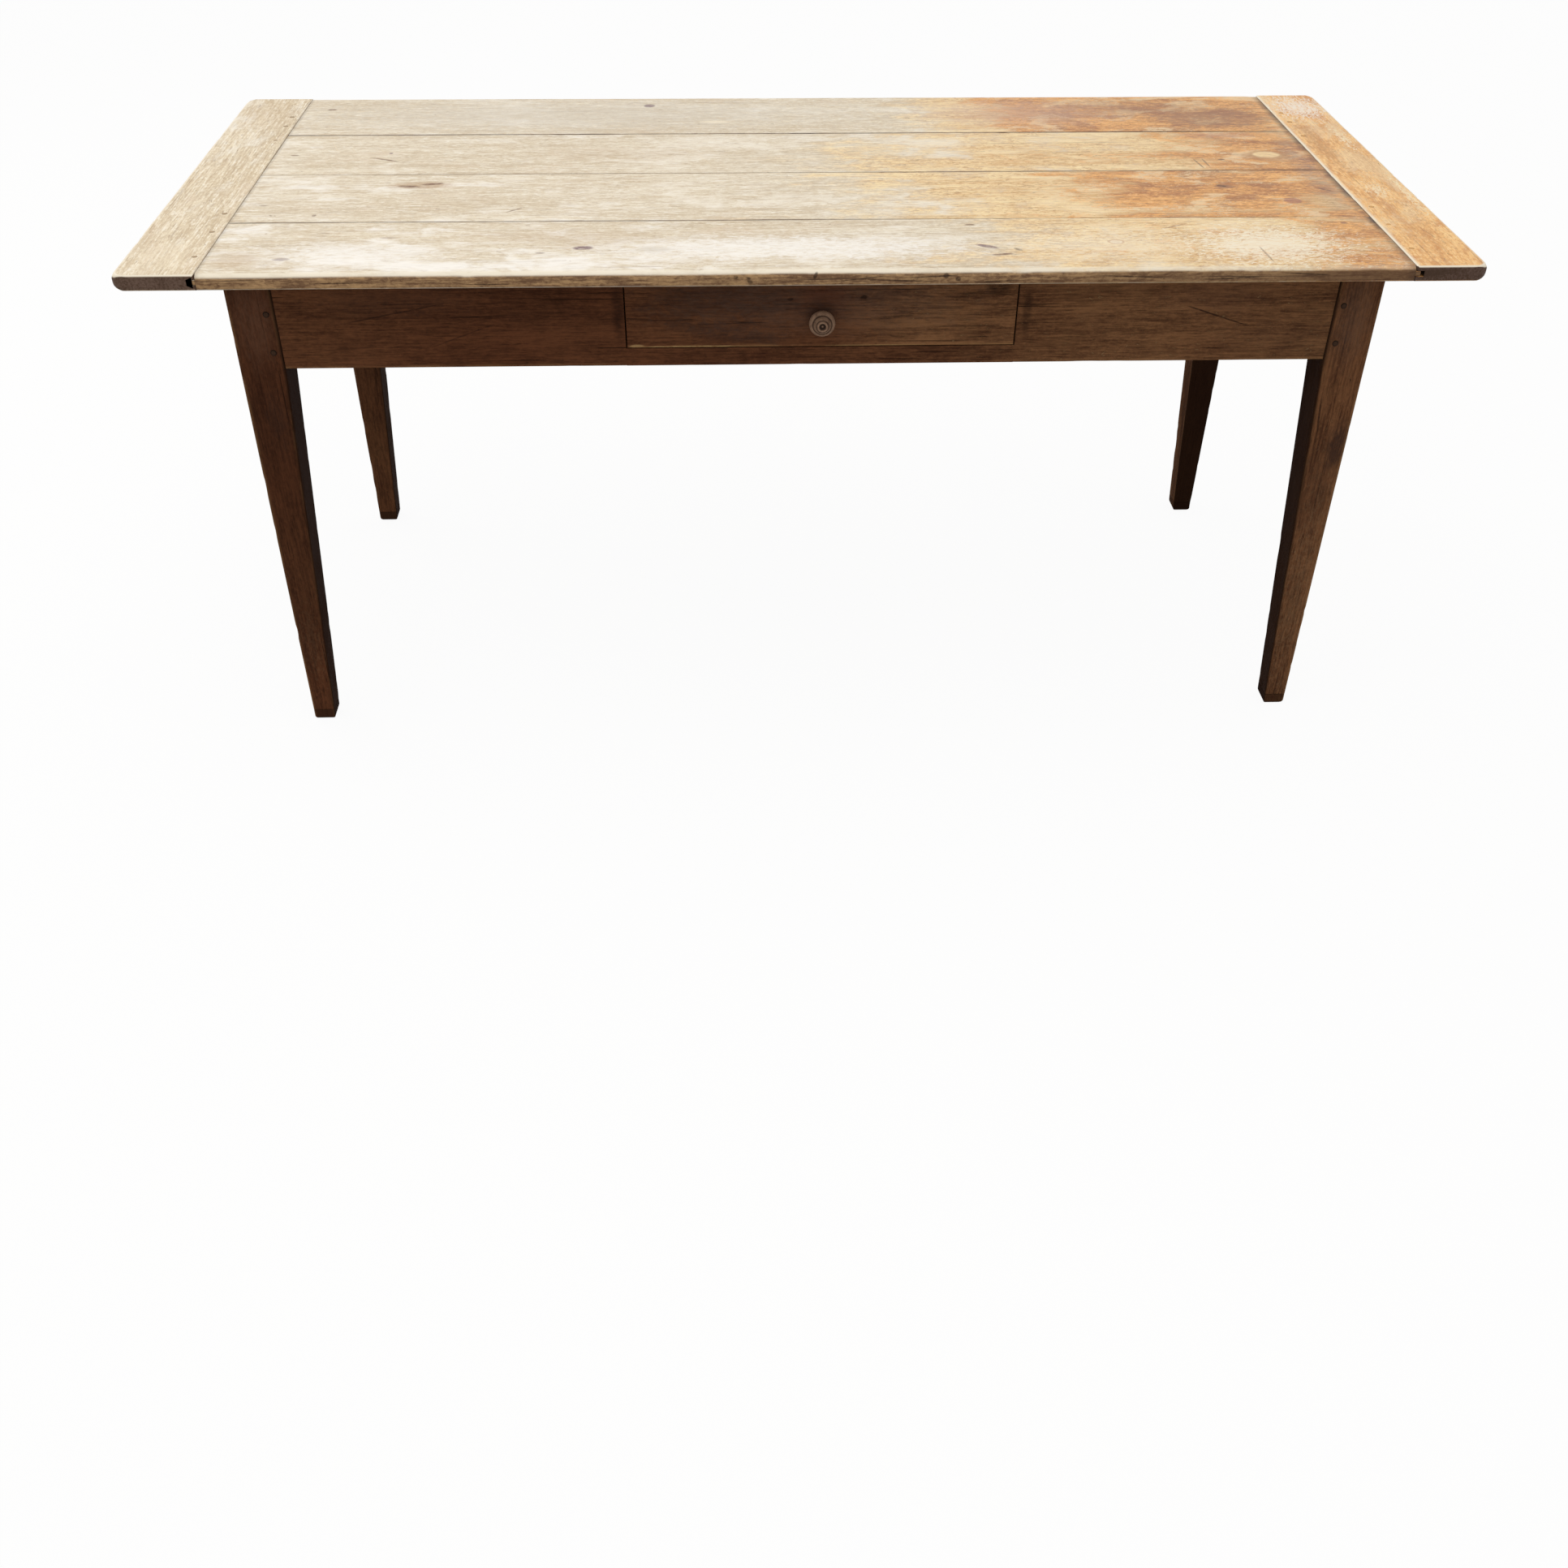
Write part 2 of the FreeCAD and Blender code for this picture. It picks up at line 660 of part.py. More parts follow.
def make_rail(side):
    """Rail between two legs, with pegged tenons and slots for the buttons."""
    rail = new_body(side.name, side.x, side.y, "0", side.turn)
    span = f"({side.length} - 2 * Dims.leg_size)"
    section = rectangle("Dims.rail_setback", RAIL_BOTTOM, RAIL_INSIDE, UNDERSIDE)
    pad(rail, f"{side.name}_board", "YZ", "Dims.leg_size", span, section)
    if side.name == "front_rail":
        cut_drawer_opening(rail)
    tenon = rectangle(TENON_FACE, TENON_LOW, TENON_BACK, TENON_HIGH)
    first_start = f"(Dims.leg_size - {TENON_LENGTH})"
    last_start = f"({side.length} - Dims.leg_size)"
    pad(rail, f"{side.name}_tenon_first", "YZ", first_start, TENON_LENGTH, tenon)
    pad(rail, f"{side.name}_tenon_last", "YZ", last_start, TENON_LENGTH, tenon)
    far_peg = f"({side.length} - {PEG_ALONG})"
    centres = [(along, height) for along in (PEG_ALONG, far_peg) for height in PEG_HEIGHTS]
    drill(rail, f"{side.name}_pegs", "XZ", "0", RAIL_INSIDE, RAIL_PEG_HOLE, centres)
    slots = []
    for along in side.buttons:
        low_x = f"({along} - Dims.button_length / 2 - Dims.wood_fit)"
        high_x = f"({along} + Dims.button_length / 2 + Dims.wood_fit)"
        low_z = f"({UNDERSIDE} - Dims.button_height - Dims.wood_fit)"
        high_z = f"({UNDERSIDE} - Dims.button_height + Dims.button_tongue_height)"
        slots.append(rectangle(low_x, low_z, high_x, high_z))
    slot_depth = "(Dims.button_tongue + Dims.wood_fit)"
    pocket(rail, f"{side.name}_slots", "XZ", f"({RAIL_INSIDE} - {slot_depth})", slot_depth, *slots)
    if side.name in ("front_rail", "back_rail"):
        cut_runner_mortises(rail, side)


def cut_drawer_opening(rail):
    """Notch in the front rail that leaves a strip under the drawer."""
    middle = f"({OPENING_MIDDLE} - {FRAME_LEFT})"
    low, high = f"({middle} - {OPENING_HALF})", f"({middle} + {OPENING_HALF})"
    notch = rectangle(low, OPENING_BOTTOM, high, UNDERSIDE)
    pocket(rail, "drawer_notch", "XZ", "0", RAIL_INSIDE, notch)


# Runners: distance of their inner edge from the drawer's middle, and their stub tenons
RUNNER_INNER = f"({OPENING_HALF} - Dims.runner_bearing)"
RUNNER_OUTER = f"({RUNNER_INNER} + Dims.runner_width)"
RUNNER_LOW = f"({OPENING_BOTTOM} - Dims.runner_height)"
STUB_LOW = f"({RUNNER_LOW} + Dims.runner_tenon_inset)"
STUB_HIGH = f"({OPENING_BOTTOM} - Dims.runner_tenon_inset)"
STUB_INNER = f"({RUNNER_INNER} + Dims.runner_tenon_inset)"
STUB_OUTER = f"({RUNNER_OUTER} - Dims.runner_tenon_inset)"


def cut_runner_mortises(rail, side):
    """Mortises for the runners' stub tenons in the inner face of the front or the back rail."""
    middle = f"({OPENING_MIDDLE} - {FRAME_LEFT})"
    if side.name == "back_rail":
        middle = f"({FRAME_RIGHT} - {OPENING_MIDDLE})"
    mortises = []
    for sign in (-1, 1):
        inner = f"({middle} + {sign} * ({STUB_INNER} - Dims.wood_fit))"
        outer = f"({middle} + {sign} * ({STUB_OUTER} + Dims.wood_fit))"
        low, high = f"({STUB_LOW} - Dims.wood_fit)", f"({STUB_HIGH} + Dims.wood_fit)"
        mortises.append(rectangle(inner, low, outer, high))
    depth = "(Dims.runner_tenon_length + Dims.wood_fit)"
    pocket(rail, f"{side.name}_runners", "XZ", f"({RAIL_INSIDE} - {depth})", depth, *mortises)


def make_rail_pegs():
    """Pegs through the rail tenons, one group for each leg."""
    inward = Rotation(Vector(1, 0, 0), -90)
    length = f"({RAIL_PEG_DEPTH} + Dims.rail_peg_proud)"
    for number, side in enumerate(SIDES):
        before = SIDES[number - 1]
        pegs = []
        for owner, along in ((side, PEG_ALONG), (before, f"({before.length} - {PEG_ALONG})")):
            x, y = owner.place_of(along, "(-Dims.rail_peg_proud)")
            for height in PEG_HEIGHTS:
                name = f"rail_peg_{side.leg}_{len(pegs)}"
                rotation = owner.rotation() * inward
                pegs.append(rod(name, x, y, height, rotation, "Dims.rail_peg_radius", length))
        group(f"rail_pegs_{side.leg}", pegs)


def make_button(side, along, number):
    """Wooden button whose tongue sits in the rail's slot, and its screw; both are returned."""
    label = f"button_{side.name}_{number}"
    x, y = side.place_of(along, RAIL_INSIDE)
    button = new_body(label, x, y, f"({UNDERSIDE} - Dims.button_height)", side.turn)
    outline = [
        ("-Dims.button_tongue", "0"),
        ("Dims.button_width", "0"),
        ("Dims.button_width", "Dims.button_height"),
        ("0", "Dims.button_height"),
        ("0", "Dims.button_tongue_height"),
        ("-Dims.button_tongue", "Dims.button_tongue_height"),
    ]
    pad(button, f"{label}_block", "YZ", "(-Dims.button_length / 2)", "Dims.button_length", outline)
    hole = [("0", "Dims.button_screw_inset")]
    shank_hole = "(Dims.screw_radius + Dims.peg_fit)"
    head_hole = "(Dims.screw_head_radius + Dims.peg_fit)"
    drill(button, f"{label}_hole", "XY", "0", "Dims.button_height", shank_hole, hole)
    drill(button, f"{label}_seat", "XY", "0", "Dims.screw_head_height", head_hole, hole)

    screw = new_body(f"screw_{side.name}_{number}", x, y, f"({UNDERSIDE} - Dims.button_height)", side.turn)
    shank_length = "(Dims.button_height + Dims.screw_in_top - Dims.wood_fit)"
    for part, radius, length in (
        ("shank", "Dims.screw_radius", shank_length),
        ("head", "Dims.screw_head_radius", "Dims.screw_head_height"),
    ):
        sketch = new_sketch(screw, f"{screw.Label}_{part}", "XY", "0")
        circle(sketch, hole[0], radius)
        extrude(screw, "Pad", sketch, "XY", length)
    return button, screw


def make_buttons():
    """All buttons and screws that hold the top on the rails."""
    pairs = [
        make_button(side, along, number)
        for side in SIDES
        for number, along in enumerate(side.buttons, start=1)
    ]
    group("top_buttons", [button for button, _ in pairs])
    group("top_screws", [screw for _, screw in pairs])


def make_frame():
    """Legs, feet, rails, pegs and buttons."""
    for side in SIDES:
        make_leg(side)
        make_rail(side)
    make_foot_dowels()
    make_rail_pegs()
    make_buttons()


def make_runner(name, sign):
    """Runner under one side of the drawer, with the guide and the stop on it."""
    label = f"drawer_runner_{name}"
    inside = f"({FRAME_WIDTH} - 2 * {RAIL_INSIDE})"
    front = f"({FRAME_FRONT} + {RAIL_INSIDE})"
    runner = new_body(label, OPENING_MIDDLE, front, "0")
    inner, outer = f"({sign} * {RUNNER_INNER})", f"({sign} * {RUNNER_OUTER})"
    bar = rectangle(inner, RUNNER_LOW, outer, OPENING_BOTTOM)
    pad(runner, f"{label}_bar", "XZ", "0", inside, bar)
    stub = rectangle(f"({sign} * {STUB_INNER})", STUB_LOW, f"({sign} * {STUB_OUTER})", STUB_HIGH)
    reach = "Dims.runner_tenon_length"
    pad(runner, f"{label}_stub_front", "XZ", f"(-{reach})", reach, stub)
    pad(runner, f"{label}_stub_back", "XZ", inside, reach, stub)

    label = f"drawer_guide_{name}"
    guide = new_body(label, OPENING_MIDDLE, front, OPENING_BOTTOM)
    guide_outer = f"({sign} * ({OPENING_HALF} + Dims.guide_width))"
    strip = rectangle(f"({sign} * {OPENING_HALF})", "0", guide_outer, "Dims.guide_height")
    pad(guide, f"{label}_strip", "XZ", "0", inside, strip)


def make_stops():
    """Blocks on the runners that the drawer's sides come to rest against."""
    stops = []
    for name, sign in (("left", -1), ("right", 1)):
        label = f"drawer_stop_{name}"
        back = f"({DRAWER_FACE} + {DRAWER_DEPTH} + Dims.drawer_lift)"
        stop = new_body(label, OPENING_MIDDLE, back, OPENING_BOTTOM)
        inner = f"({sign} * ({OPENING_HALF} - Dims.stop_width))"
        block = rectangle(inner, "0", f"({sign} * {OPENING_HALF})", "Dims.stop_height")
        pad(stop, f"{label}_block", "XZ", "0", "Dims.stop_length", block)
        stops.append(stop)
    group("drawer_stops", stops)


# Drawer box, counted from the middle of its front face on the floor of the opening
FRONT_HEIGHT = f"({UNDERSIDE} - {OPENING_BOTTOM} - Dims.drawer_top_gap)"
SIDE_HEIGHT = f"({FRONT_HEIGHT} - Dims.drawer_side_drop)"
SIDE_INNER = f"({DRAWER_HALF} - Dims.drawer_side_thickness)"
GROOVE_FLOOR = "(Dims.drawer_lift + Dims.drawer_groove_height)"
GROOVE_ROOF = f"({GROOVE_FLOOR} + Dims.drawer_bottom_thickness + 2 * Dims.wood_fit)"
BACK_FACE = f"({DRAWER_DEPTH} - Dims.drawer_back_thickness)"
TAIL_FRACTIONS = ("0.30", "0.76")


def tails(root, tip, low, play):
    """Dovetails up a joint from `low` to the top of the sides, each wider at its tip, grown by `play`."""
    height = f"({SIDE_HEIGHT} - {low})"
    narrow = f"({height} * Dims.tail_root_share / 2 + {play})"
    wide = f"({height} * Dims.tail_tip_share / 2 + {play})"
    outlines = []
    for fraction in TAIL_FRACTIONS:
        middle = f"({low} + {height} * {fraction})"
        outlines.append(
            [
                (root, f"({middle} - {narrow})"),
                (tip, f"({middle} - {wide})"),
                (tip, f"({middle} + {wide})"),
                (root, f"({middle} + {narrow})"),
            ]
        )
    return outlines


def drawer_body(label):
    """Body in the drawer's own frame."""
    return new_body(label, OPENING_MIDDLE, DRAWER_FACE, OPENING_BOTTOM)


def make_drawer_side(name, sign):
    """Side of the drawer: one outline with tails at both ends, and the groove for the bottom."""
    label = f"drawer_side_{name}"
    body = drawer_body(label)
    root = "Dims.drawer_front_thickness"
    outline = [(root, "Dims.drawer_lift"), (DRAWER_DEPTH, "Dims.drawer_lift")]
    outline += [(DRAWER_DEPTH, GROOVE_ROOF), (BACK_FACE, GROOVE_ROOF)]
    for corners in tails(BACK_FACE, DRAWER_DEPTH, GROOVE_ROOF, "0"):
        outline += corners
    outline += [(BACK_FACE, SIDE_HEIGHT), (root, SIDE_HEIGHT)]
    for corners in reversed(tails(root, "Dims.tail_lap", "Dims.drawer_lift", "0")):
        outline += reversed(corners)
    outer_start = f"(-{DRAWER_HALF})" if sign < 0 else SIDE_INNER
    pad(body, f"{label}_board", "YZ", outer_start, "Dims.drawer_side_thickness", outline)
    floor = f"({sign} * ({SIDE_INNER} + Dims.drawer_groove_depth))"
    groove = rectangle(f"({sign} * {SIDE_INNER})", GROOVE_FLOOR, floor, GROOVE_ROOF)
    pocket(body, f"{label}_groove", "XZ", "0", DRAWER_DEPTH, groove)


def cut_sockets(body, root, tip, low):
    """Dovetail sockets in both ends of the drawer's front or back."""
    for name, start in (("left", f"(-{DRAWER_HALF})"), ("right", SIDE_INNER)):
        sockets = tails(root, tip, low, "Dims.wood_fit")
        pocket(body, f"{body.Label}_sockets_{name}", "YZ", start, "Dims.drawer_side_thickness", *sockets)


def make_drawer_front():
    """Front board with lapped sockets, the groove for the bottom and the hole for the knob."""
    body = drawer_body("drawer_front")
    face = rectangle(f"(-{DRAWER_HALF})", "Dims.drawer_front_lift", DRAWER_HALF, FRONT_HEIGHT)
    pad(body, "drawer_front_board", "XZ", "0", "Dims.drawer_front_thickness", face)

    def face_edge(edge):
        return near(edge.BoundBox.YMax, 0)

    dress(body, "Chamfer", "arris", "Size", "Dims.drawer_front_chamfer", face_edge)
    tip = "(Dims.tail_lap - Dims.wood_fit)"
    cut_sockets(body, "Dims.drawer_front_thickness", tip, "Dims.drawer_lift")
    half = f"({SIDE_INNER} + Dims.drawer_groove_depth)"
    groove = rectangle(f"(-{half})", GROOVE_FLOOR, half, GROOVE_ROOF)
    start = "(Dims.drawer_front_thickness - Dims.drawer_groove_depth)"
    pocket(body, "drawer_front_groove", "XZ", start, "Dims.drawer_groove_depth", groove)
    hole = "(Dims.knob_spigot_radius + Dims.peg_fit)"
    thickness = "Dims.drawer_front_thickness"
    drill(body, "drawer_front_knob", "XZ", "0", thickness, hole, [("0", "Dims.knob_height")])


# Nails through the bottom panel into the back
NAIL_DEPTH = "(Dims.drawer_bottom_thickness + Dims.nail_in_back)"
NAIL_LOW = f"({GROOVE_FLOOR} + Dims.wood_fit)"
NAIL_Y = f"({BACK_FACE} + Dims.drawer_back_thickness / 2)"
NAIL_ACROSS = [f"({step} * {SIDE_INNER} / 2)" for step in (-1, 0, 1)]


def make_drawer_back():
    """Back board that stands on the bottom panel between the sides' tails."""
    body = drawer_body("drawer_back")
    face = rectangle(f"(-{DRAWER_HALF})", GROOVE_ROOF, DRAWER_HALF, SIDE_HEIGHT)
    pad(body, "drawer_back_board", "XZ", BACK_FACE, "Dims.drawer_back_thickness", face)
    cut_sockets(body, BACK_FACE, DRAWER_DEPTH, GROOVE_ROOF)
    hole = "(Dims.nail_radius + Dims.peg_fit)"
    centres = [(across, NAIL_Y) for across in NAIL_ACROSS]
    drill(body, "drawer_back_nails", "XY", NAIL_LOW, f"({NAIL_DEPTH} + Dims.wood_fit)", hole, centres)


def make_drawer_bottom():
    """Panel in the grooves of the front and the sides, nailed under the back."""
    body = drawer_body("drawer_bottom")
    half = f"({SIDE_INNER} + Dims.drawer_groove_depth - Dims.wood_fit)"
    front = "(Dims.drawer_front_thickness - Dims.drawer_groove_depth + Dims.wood_fit)"
    outline = rectangle(f"(-{half})", front, half, DRAWER_DEPTH)
    pad(body, "drawer_bottom_panel", "XY", NAIL_LOW, "Dims.drawer_bottom_thickness", outline)
    hole = "(Dims.nail_radius + Dims.peg_fit)"
    centres = [(across, NAIL_Y) for across in NAIL_ACROSS]
    drill(body, "drawer_bottom_nails", "XY", NAIL_LOW, "Dims.drawer_bottom_thickness", hole, centres)


def make_drawer_nails():
    """Nails that hold the bottom panel to the back."""
    nails = []
    for number, across in enumerate(NAIL_ACROSS):
        x = f"({OPENING_MIDDLE} + {across})"
        y = f"({DRAWER_FACE} + {NAIL_Y})"
        z = f"({OPENING_BOTTOM} + {NAIL_LOW})"
        nails.append(rod(f"drawer_nail_{number}", x, y, z, Rotation(), "Dims.nail_radius", NAIL_DEPTH))
    group("drawer_nails", nails)


def make_knob():
    """Turned knob with a collar, a rim, a ring groove and a hollow, on a spigot through the front."""
    z = f"({OPENING_BOTTOM} + Dims.knob_height)"
    body = new_body("drawer_knob", OPENING_MIDDLE, DRAWER_FACE, z)
    spigot_end = "(Dims.drawer_front_thickness + Dims.knob_spigot_end)"
    groove_in = "(Dims.knob_crown_radius - Dims.knob_groove_width / 2)"
    groove_out = "(Dims.knob_crown_radius + Dims.knob_groove_width / 2)"
    rim_front = "(Dims.knob_rim_back + Dims.knob_rim_width)"
    reach = f"({rim_front} + Dims.knob_crown_height)"
    shoulder = f"(-({reach} + {rim_front}) / 2)"
    outline = [
        ("0", spigot_end),
        ("Dims.knob_spigot_radius", spigot_end),
        ("Dims.knob_spigot_radius", "0"),
        ("Dims.knob_collar_radius", "0"),
        ("Dims.knob_collar_radius", "-Dims.knob_collar_length"),
        ("Dims.knob_neck_radius", "(-Dims.knob_collar_length - Dims.knob_groove_width)"),
        ("Dims.knob_radius", "-Dims.knob_rim_back"),
        ("Dims.knob_radius", f"-{rim_front}"),
        (groove_out, shoulder),
        ("Dims.knob_crown_radius", f"({shoulder} + Dims.knob_groove_depth)"),
        (groove_in, shoulder),
        ("Dims.knob_bead_radius", f"-{reach}"),
        ("Dims.knob_hollow_radius", f"-{reach}"),
        ("0", f"(-{reach} + Dims.knob_hollow_depth)"),
    ]
    sketch = new_sketch(body, "drawer_knob_profile", "XY", "0")
    polygon(sketch, outline)
    turned = body.newObject("PartDesign::Revolution", "drawer_knob_turned")
    turned.Profile = sketch
    turned.ReferenceAxis = (sketch, ["V_Axis"])
    turned.Angle = 360
    rim_radius = value("Dims.knob_radius")

    def rim(edge):
        return isinstance(edge.Curve, Part.Circle) and near(edge.Curve.Radius, rim_radius)

    dress(body, "Fillet", "rim", "Radius", "Dims.knob_rim_width * Dims.knob_rim_round_share", rim)


def make_drawer():
    """Drawer box with its knob, and what it runs on."""
    for name, sign in (("left", -1), ("right", 1)):
        make_runner(name, sign)
        make_drawer_side(name, sign)
    make_stops()
    make_drawer_front()
    make_drawer_back()
    make_drawer_bottom()
    make_drawer_nails()
    make_knob()


def pieces():
    """Top-level pieces: every body and compound that is no member of a compound."""
    grouped = {item.Name for compound in doc.findObjects("Part::Compound") for item in compound.Links}
    found = doc.findObjects("PartDesign::Body") + doc.findObjects("Part::Compound")
    return [item for item in found if item.Name not in grouped]


def write_steps():
    """Check every object, then write one STEP file for each piece."""
    for item in doc.Objects:
        if "Invalid" in item.State or "Error" in item.State:
            raise RuntimeError(f"{item.Label} did not build: {item.State}")
    os.makedirs("parts", exist_ok=True)
    for item in pieces():
        if item.Shape.isNull() or not item.Shape.isValid():
            raise RuntimeError(f"{item.Label} has no valid shape")
        item.Shape.exportStep(f"parts/{item.Label}.step")


make_top()
make_frame()
make_drawer()
doc.recompute()
write_steps()
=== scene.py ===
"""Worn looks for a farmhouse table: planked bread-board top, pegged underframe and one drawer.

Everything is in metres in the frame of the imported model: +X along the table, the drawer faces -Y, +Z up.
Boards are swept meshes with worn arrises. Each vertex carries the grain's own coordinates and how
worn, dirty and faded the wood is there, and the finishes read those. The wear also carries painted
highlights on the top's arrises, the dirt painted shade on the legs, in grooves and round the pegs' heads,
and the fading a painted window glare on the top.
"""

from __future__ import annotations

import logging
import math
from dataclasses import dataclass, field
from enum import Enum
from typing import Callable

import bmesh
import bpy
from mathutils import Matrix, Vector, noise

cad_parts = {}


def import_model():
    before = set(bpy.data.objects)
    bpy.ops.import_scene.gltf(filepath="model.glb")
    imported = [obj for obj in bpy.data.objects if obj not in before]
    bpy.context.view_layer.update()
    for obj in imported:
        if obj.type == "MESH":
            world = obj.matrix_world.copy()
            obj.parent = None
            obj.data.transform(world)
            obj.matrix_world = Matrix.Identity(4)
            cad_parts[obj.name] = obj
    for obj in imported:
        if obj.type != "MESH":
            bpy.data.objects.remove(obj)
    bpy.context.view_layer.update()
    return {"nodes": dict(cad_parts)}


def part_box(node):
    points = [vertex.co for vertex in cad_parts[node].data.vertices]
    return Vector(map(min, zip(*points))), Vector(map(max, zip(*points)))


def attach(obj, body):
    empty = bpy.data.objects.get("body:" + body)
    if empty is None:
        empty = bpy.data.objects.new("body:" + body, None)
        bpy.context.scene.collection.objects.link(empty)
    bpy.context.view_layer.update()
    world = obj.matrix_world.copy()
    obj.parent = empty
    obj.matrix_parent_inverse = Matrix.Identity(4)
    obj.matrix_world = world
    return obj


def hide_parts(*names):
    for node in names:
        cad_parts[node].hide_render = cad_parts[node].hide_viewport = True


LOG = logging.getLogger("farmhouse_table")
Item = bpy.types.Object
Material = bpy.types.Material
Tree = bpy.types.NodeTree
Socket = bpy.types.NodeSocket
Outputs = bpy.types.bpy_prop_collection
Colour = tuple[float, float, float]
Feed = float | tuple[float, ...] | Socket
Pair = tuple[float, float]
MM = 0.001
# Shift per unit of seed: of the noise in the faces, and of the grain along, across and up a board.
NOISE_SHIFT = (17.3, 5.1, 9.7)
GRAIN_SHIFT = (2.3, 0.37, 0.19)
# Marks more ragged than this break up into flecks.
FLECKED = 4.0
# Faces that marks lie on, in millimetres: the top, the front of the frame and the front edge of the top.
TOP_FACE = 750.0
FRAME_FACE = -341.0
EDGE_FACE = -400.0
# How far marks reach through their face, in millimetres, so that waves and rounded arrises still take them.
TOP_MARK_DEPTH = 50.0
FRONT_MARK_DEPTH = 40.0


class Run(Enum):
    """Direction in which a board's grain runs."""

    X = "x"
    Y = "y"
    Z = "z"

    def point(self, along: float, across: float, up: float) -> Vector:
        """Place in the table's frame of a point given along and across the board."""
        if self is Run.X:
            return Vector((along, across, up))
        if self is Run.Y:
            return Vector((across, along, up))
        return Vector((across, up, along))


class Body(Enum):
    """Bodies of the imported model."""

    TABLE = "table"
    DRAWER = "drawer"


class Slot(Enum):
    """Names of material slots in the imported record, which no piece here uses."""

    TOP = "top_wood"
    END = "end_wood"
    FRAME = "frame_wood"
    FOOT = "foot_wood"
    PEG = "peg_wood"
    KNOB = "knob_wood"


def ripple(place: Vector, scale: float, seed: float) -> float:
    """Smooth noise from -1 to 1.

    Args:
        place: where it is read, in metres.
        scale: waves per metre, roughly.
        seed: shifts the pattern.

    Returns:
        The noise value.
    """
    return noise.noise(place * scale + Vector([seed * shift for shift in NOISE_SHIFT]))


def wave(place: Vector, scale: float, seed: float, depth: float) -> float:
    """How far a wavy face lies under its highest places, up to a depth."""
    return depth * (0.5 + 0.5 * ripple(place, scale, seed))


def nick(place: Vector, scale: float, seed: float, rare: float, depth: float) -> float:
    """Depth of sparse nicks.

    Args:
        place: where it is read, in metres.
        scale: nicks per metre, roughly.
        seed: shifts the pattern.
        rare: level of the noise above which there is a nick.
        depth: how deep a nick gets for each unit above that level.

    Returns:
        The depth there, which is 0 in most places.
    """
    return max(0.0, ripple(place, scale, seed) - rare) * depth


def within(value: float) -> float:
    """Value kept from 0 to 1."""
    return min(1.0, max(0.0, value))


def ease(value: float, low: float, high: float) -> float:
    """Smooth step from 0 at low to 1 at high."""
    share = within((value - low) / (high - low))
    return share * share * (3.0 - 2.0 * share)


@dataclass(frozen=True)
class Corner:
    """Corner of a board's cross-section: where it is, how round, and how worn and dirty."""

    across: float
    up: float
    radius: float = 0.0
    wear: float = 0.0
    dirt: float = 0.0

    def place(self) -> Vector:
        """The sharp corner as a vector."""
        return Vector((self.across, self.up))


@dataclass(frozen=True)
class SectionPoint:
    """Point of a cross-section with its share of wear and dirt."""

    across: float
    up: float
    wear: float
    dirt: float


def rounded_section(corners: list[Corner], step: float) -> list[SectionPoint]:
    """Closed cross-section with rounded corners.

    Args:
        corners: the corners in order.
        step: largest distance between points on the flats.

    Returns:
        The points in order, each with the wear and dirt of the corners near it.
    """
    arcs = [_arc(corners[number - 1], corner, corners[(number + 1) % len(corners)])
            for number, corner in enumerate(corners)]
    places: list[Vector] = []
    for number, arc in enumerate(arcs):
        places += arc
        places += _flat(arc[-1], arcs[(number + 1) % len(arcs)][0], step)
    return [_with_wear(place, corners) for place in places]


def rectangle(across: Pair, up: Pair, radii: tuple[float, ...],
              wear: tuple[float, ...] = (0.0, 0.0, 0.0, 0.0),
              dirt: tuple[float, ...] = (0.0, 0.0, 0.0, 0.0)) -> list[Corner]:
    """Corners of a rectangle, in order round it from its first low one.

    Args:
        across: its two sides.
        up: its low and high sides.
        radii: radius of each corner.
        wear: wear of each corner.
        dirt: dirt of each corner.

    Returns:
        The four corners.
    """
    places = ((across[0], up[0]), (across[1], up[0]), (across[1], up[1]), (across[0], up[1]))
    return [Corner(*place, *state) for place, *state in zip(places, radii, wear, dirt)]


def _arc(before: Corner, corner: Corner, after: Corner, steps: int = 4) -> list[Vector]:
    """Points that round one corner, or the corner itself where it is sharp."""
    tip = corner.place()
    if corner.radius <= 0.0:
        return [tip]
    back = (before.place() - tip).normalized()
    ahead = (after.place() - tip).normalized()
    half = back.angle(ahead) / 2
    centre = tip + (back + ahead).normalized() * (corner.radius / math.sin(half))
    first = tip + back * (corner.radius / math.tan(half)) - centre
    last = tip + ahead * (corner.radius / math.tan(half)) - centre
    return [centre + corner.radius * first.slerp(last, number / steps) for number in range(steps + 1)]


def _flat(start: Vector, end: Vector, step: float) -> list[Vector]:
    """Points between two corners, some of them close to the ends to keep wear and dirt narrow there."""
    length = (end - start).length
    close, near = 1.2 * MM, 4 * MM
    if length < 3 * close:
        return []
    along = (end - start) / length
    distances = [close, length - close]
    if length > 3 * near:
        distances += evenly(near, length - near, step)
    return [start + along * distance for distance in sorted(distances)]


def _with_wear(place: Vector, corners: list[Corner]) -> SectionPoint:
    """Section point with the strongest wear and dirt of the corners near it."""
    wear_reach, dirt_reach = 2.5 * MM, 1.2 * MM
    wear = dirt = 0.0
    for corner in corners:
        distance = (place - corner.place()).length - corner.radius / 2
        wear = max(wear, corner.wear * math.exp(-((max(0.0, distance) / wear_reach) ** 2)))
        dirt = max(dirt, corner.dirt * math.exp(-((max(0.0, distance) / dirt_reach) ** 2)))
    return SectionPoint(place.x, place.y, wear, dirt)


Shape = Callable[[float, SectionPoint], Pair]
Share = Callable[[Vector], float]


def straight(_: float, point: SectionPoint) -> Pair:
    """Leave a section point where it is at every station."""
    return point.across, point.up


def even(share: float) -> Share:
    """Share that is the same at every place."""
    return lambda _: share


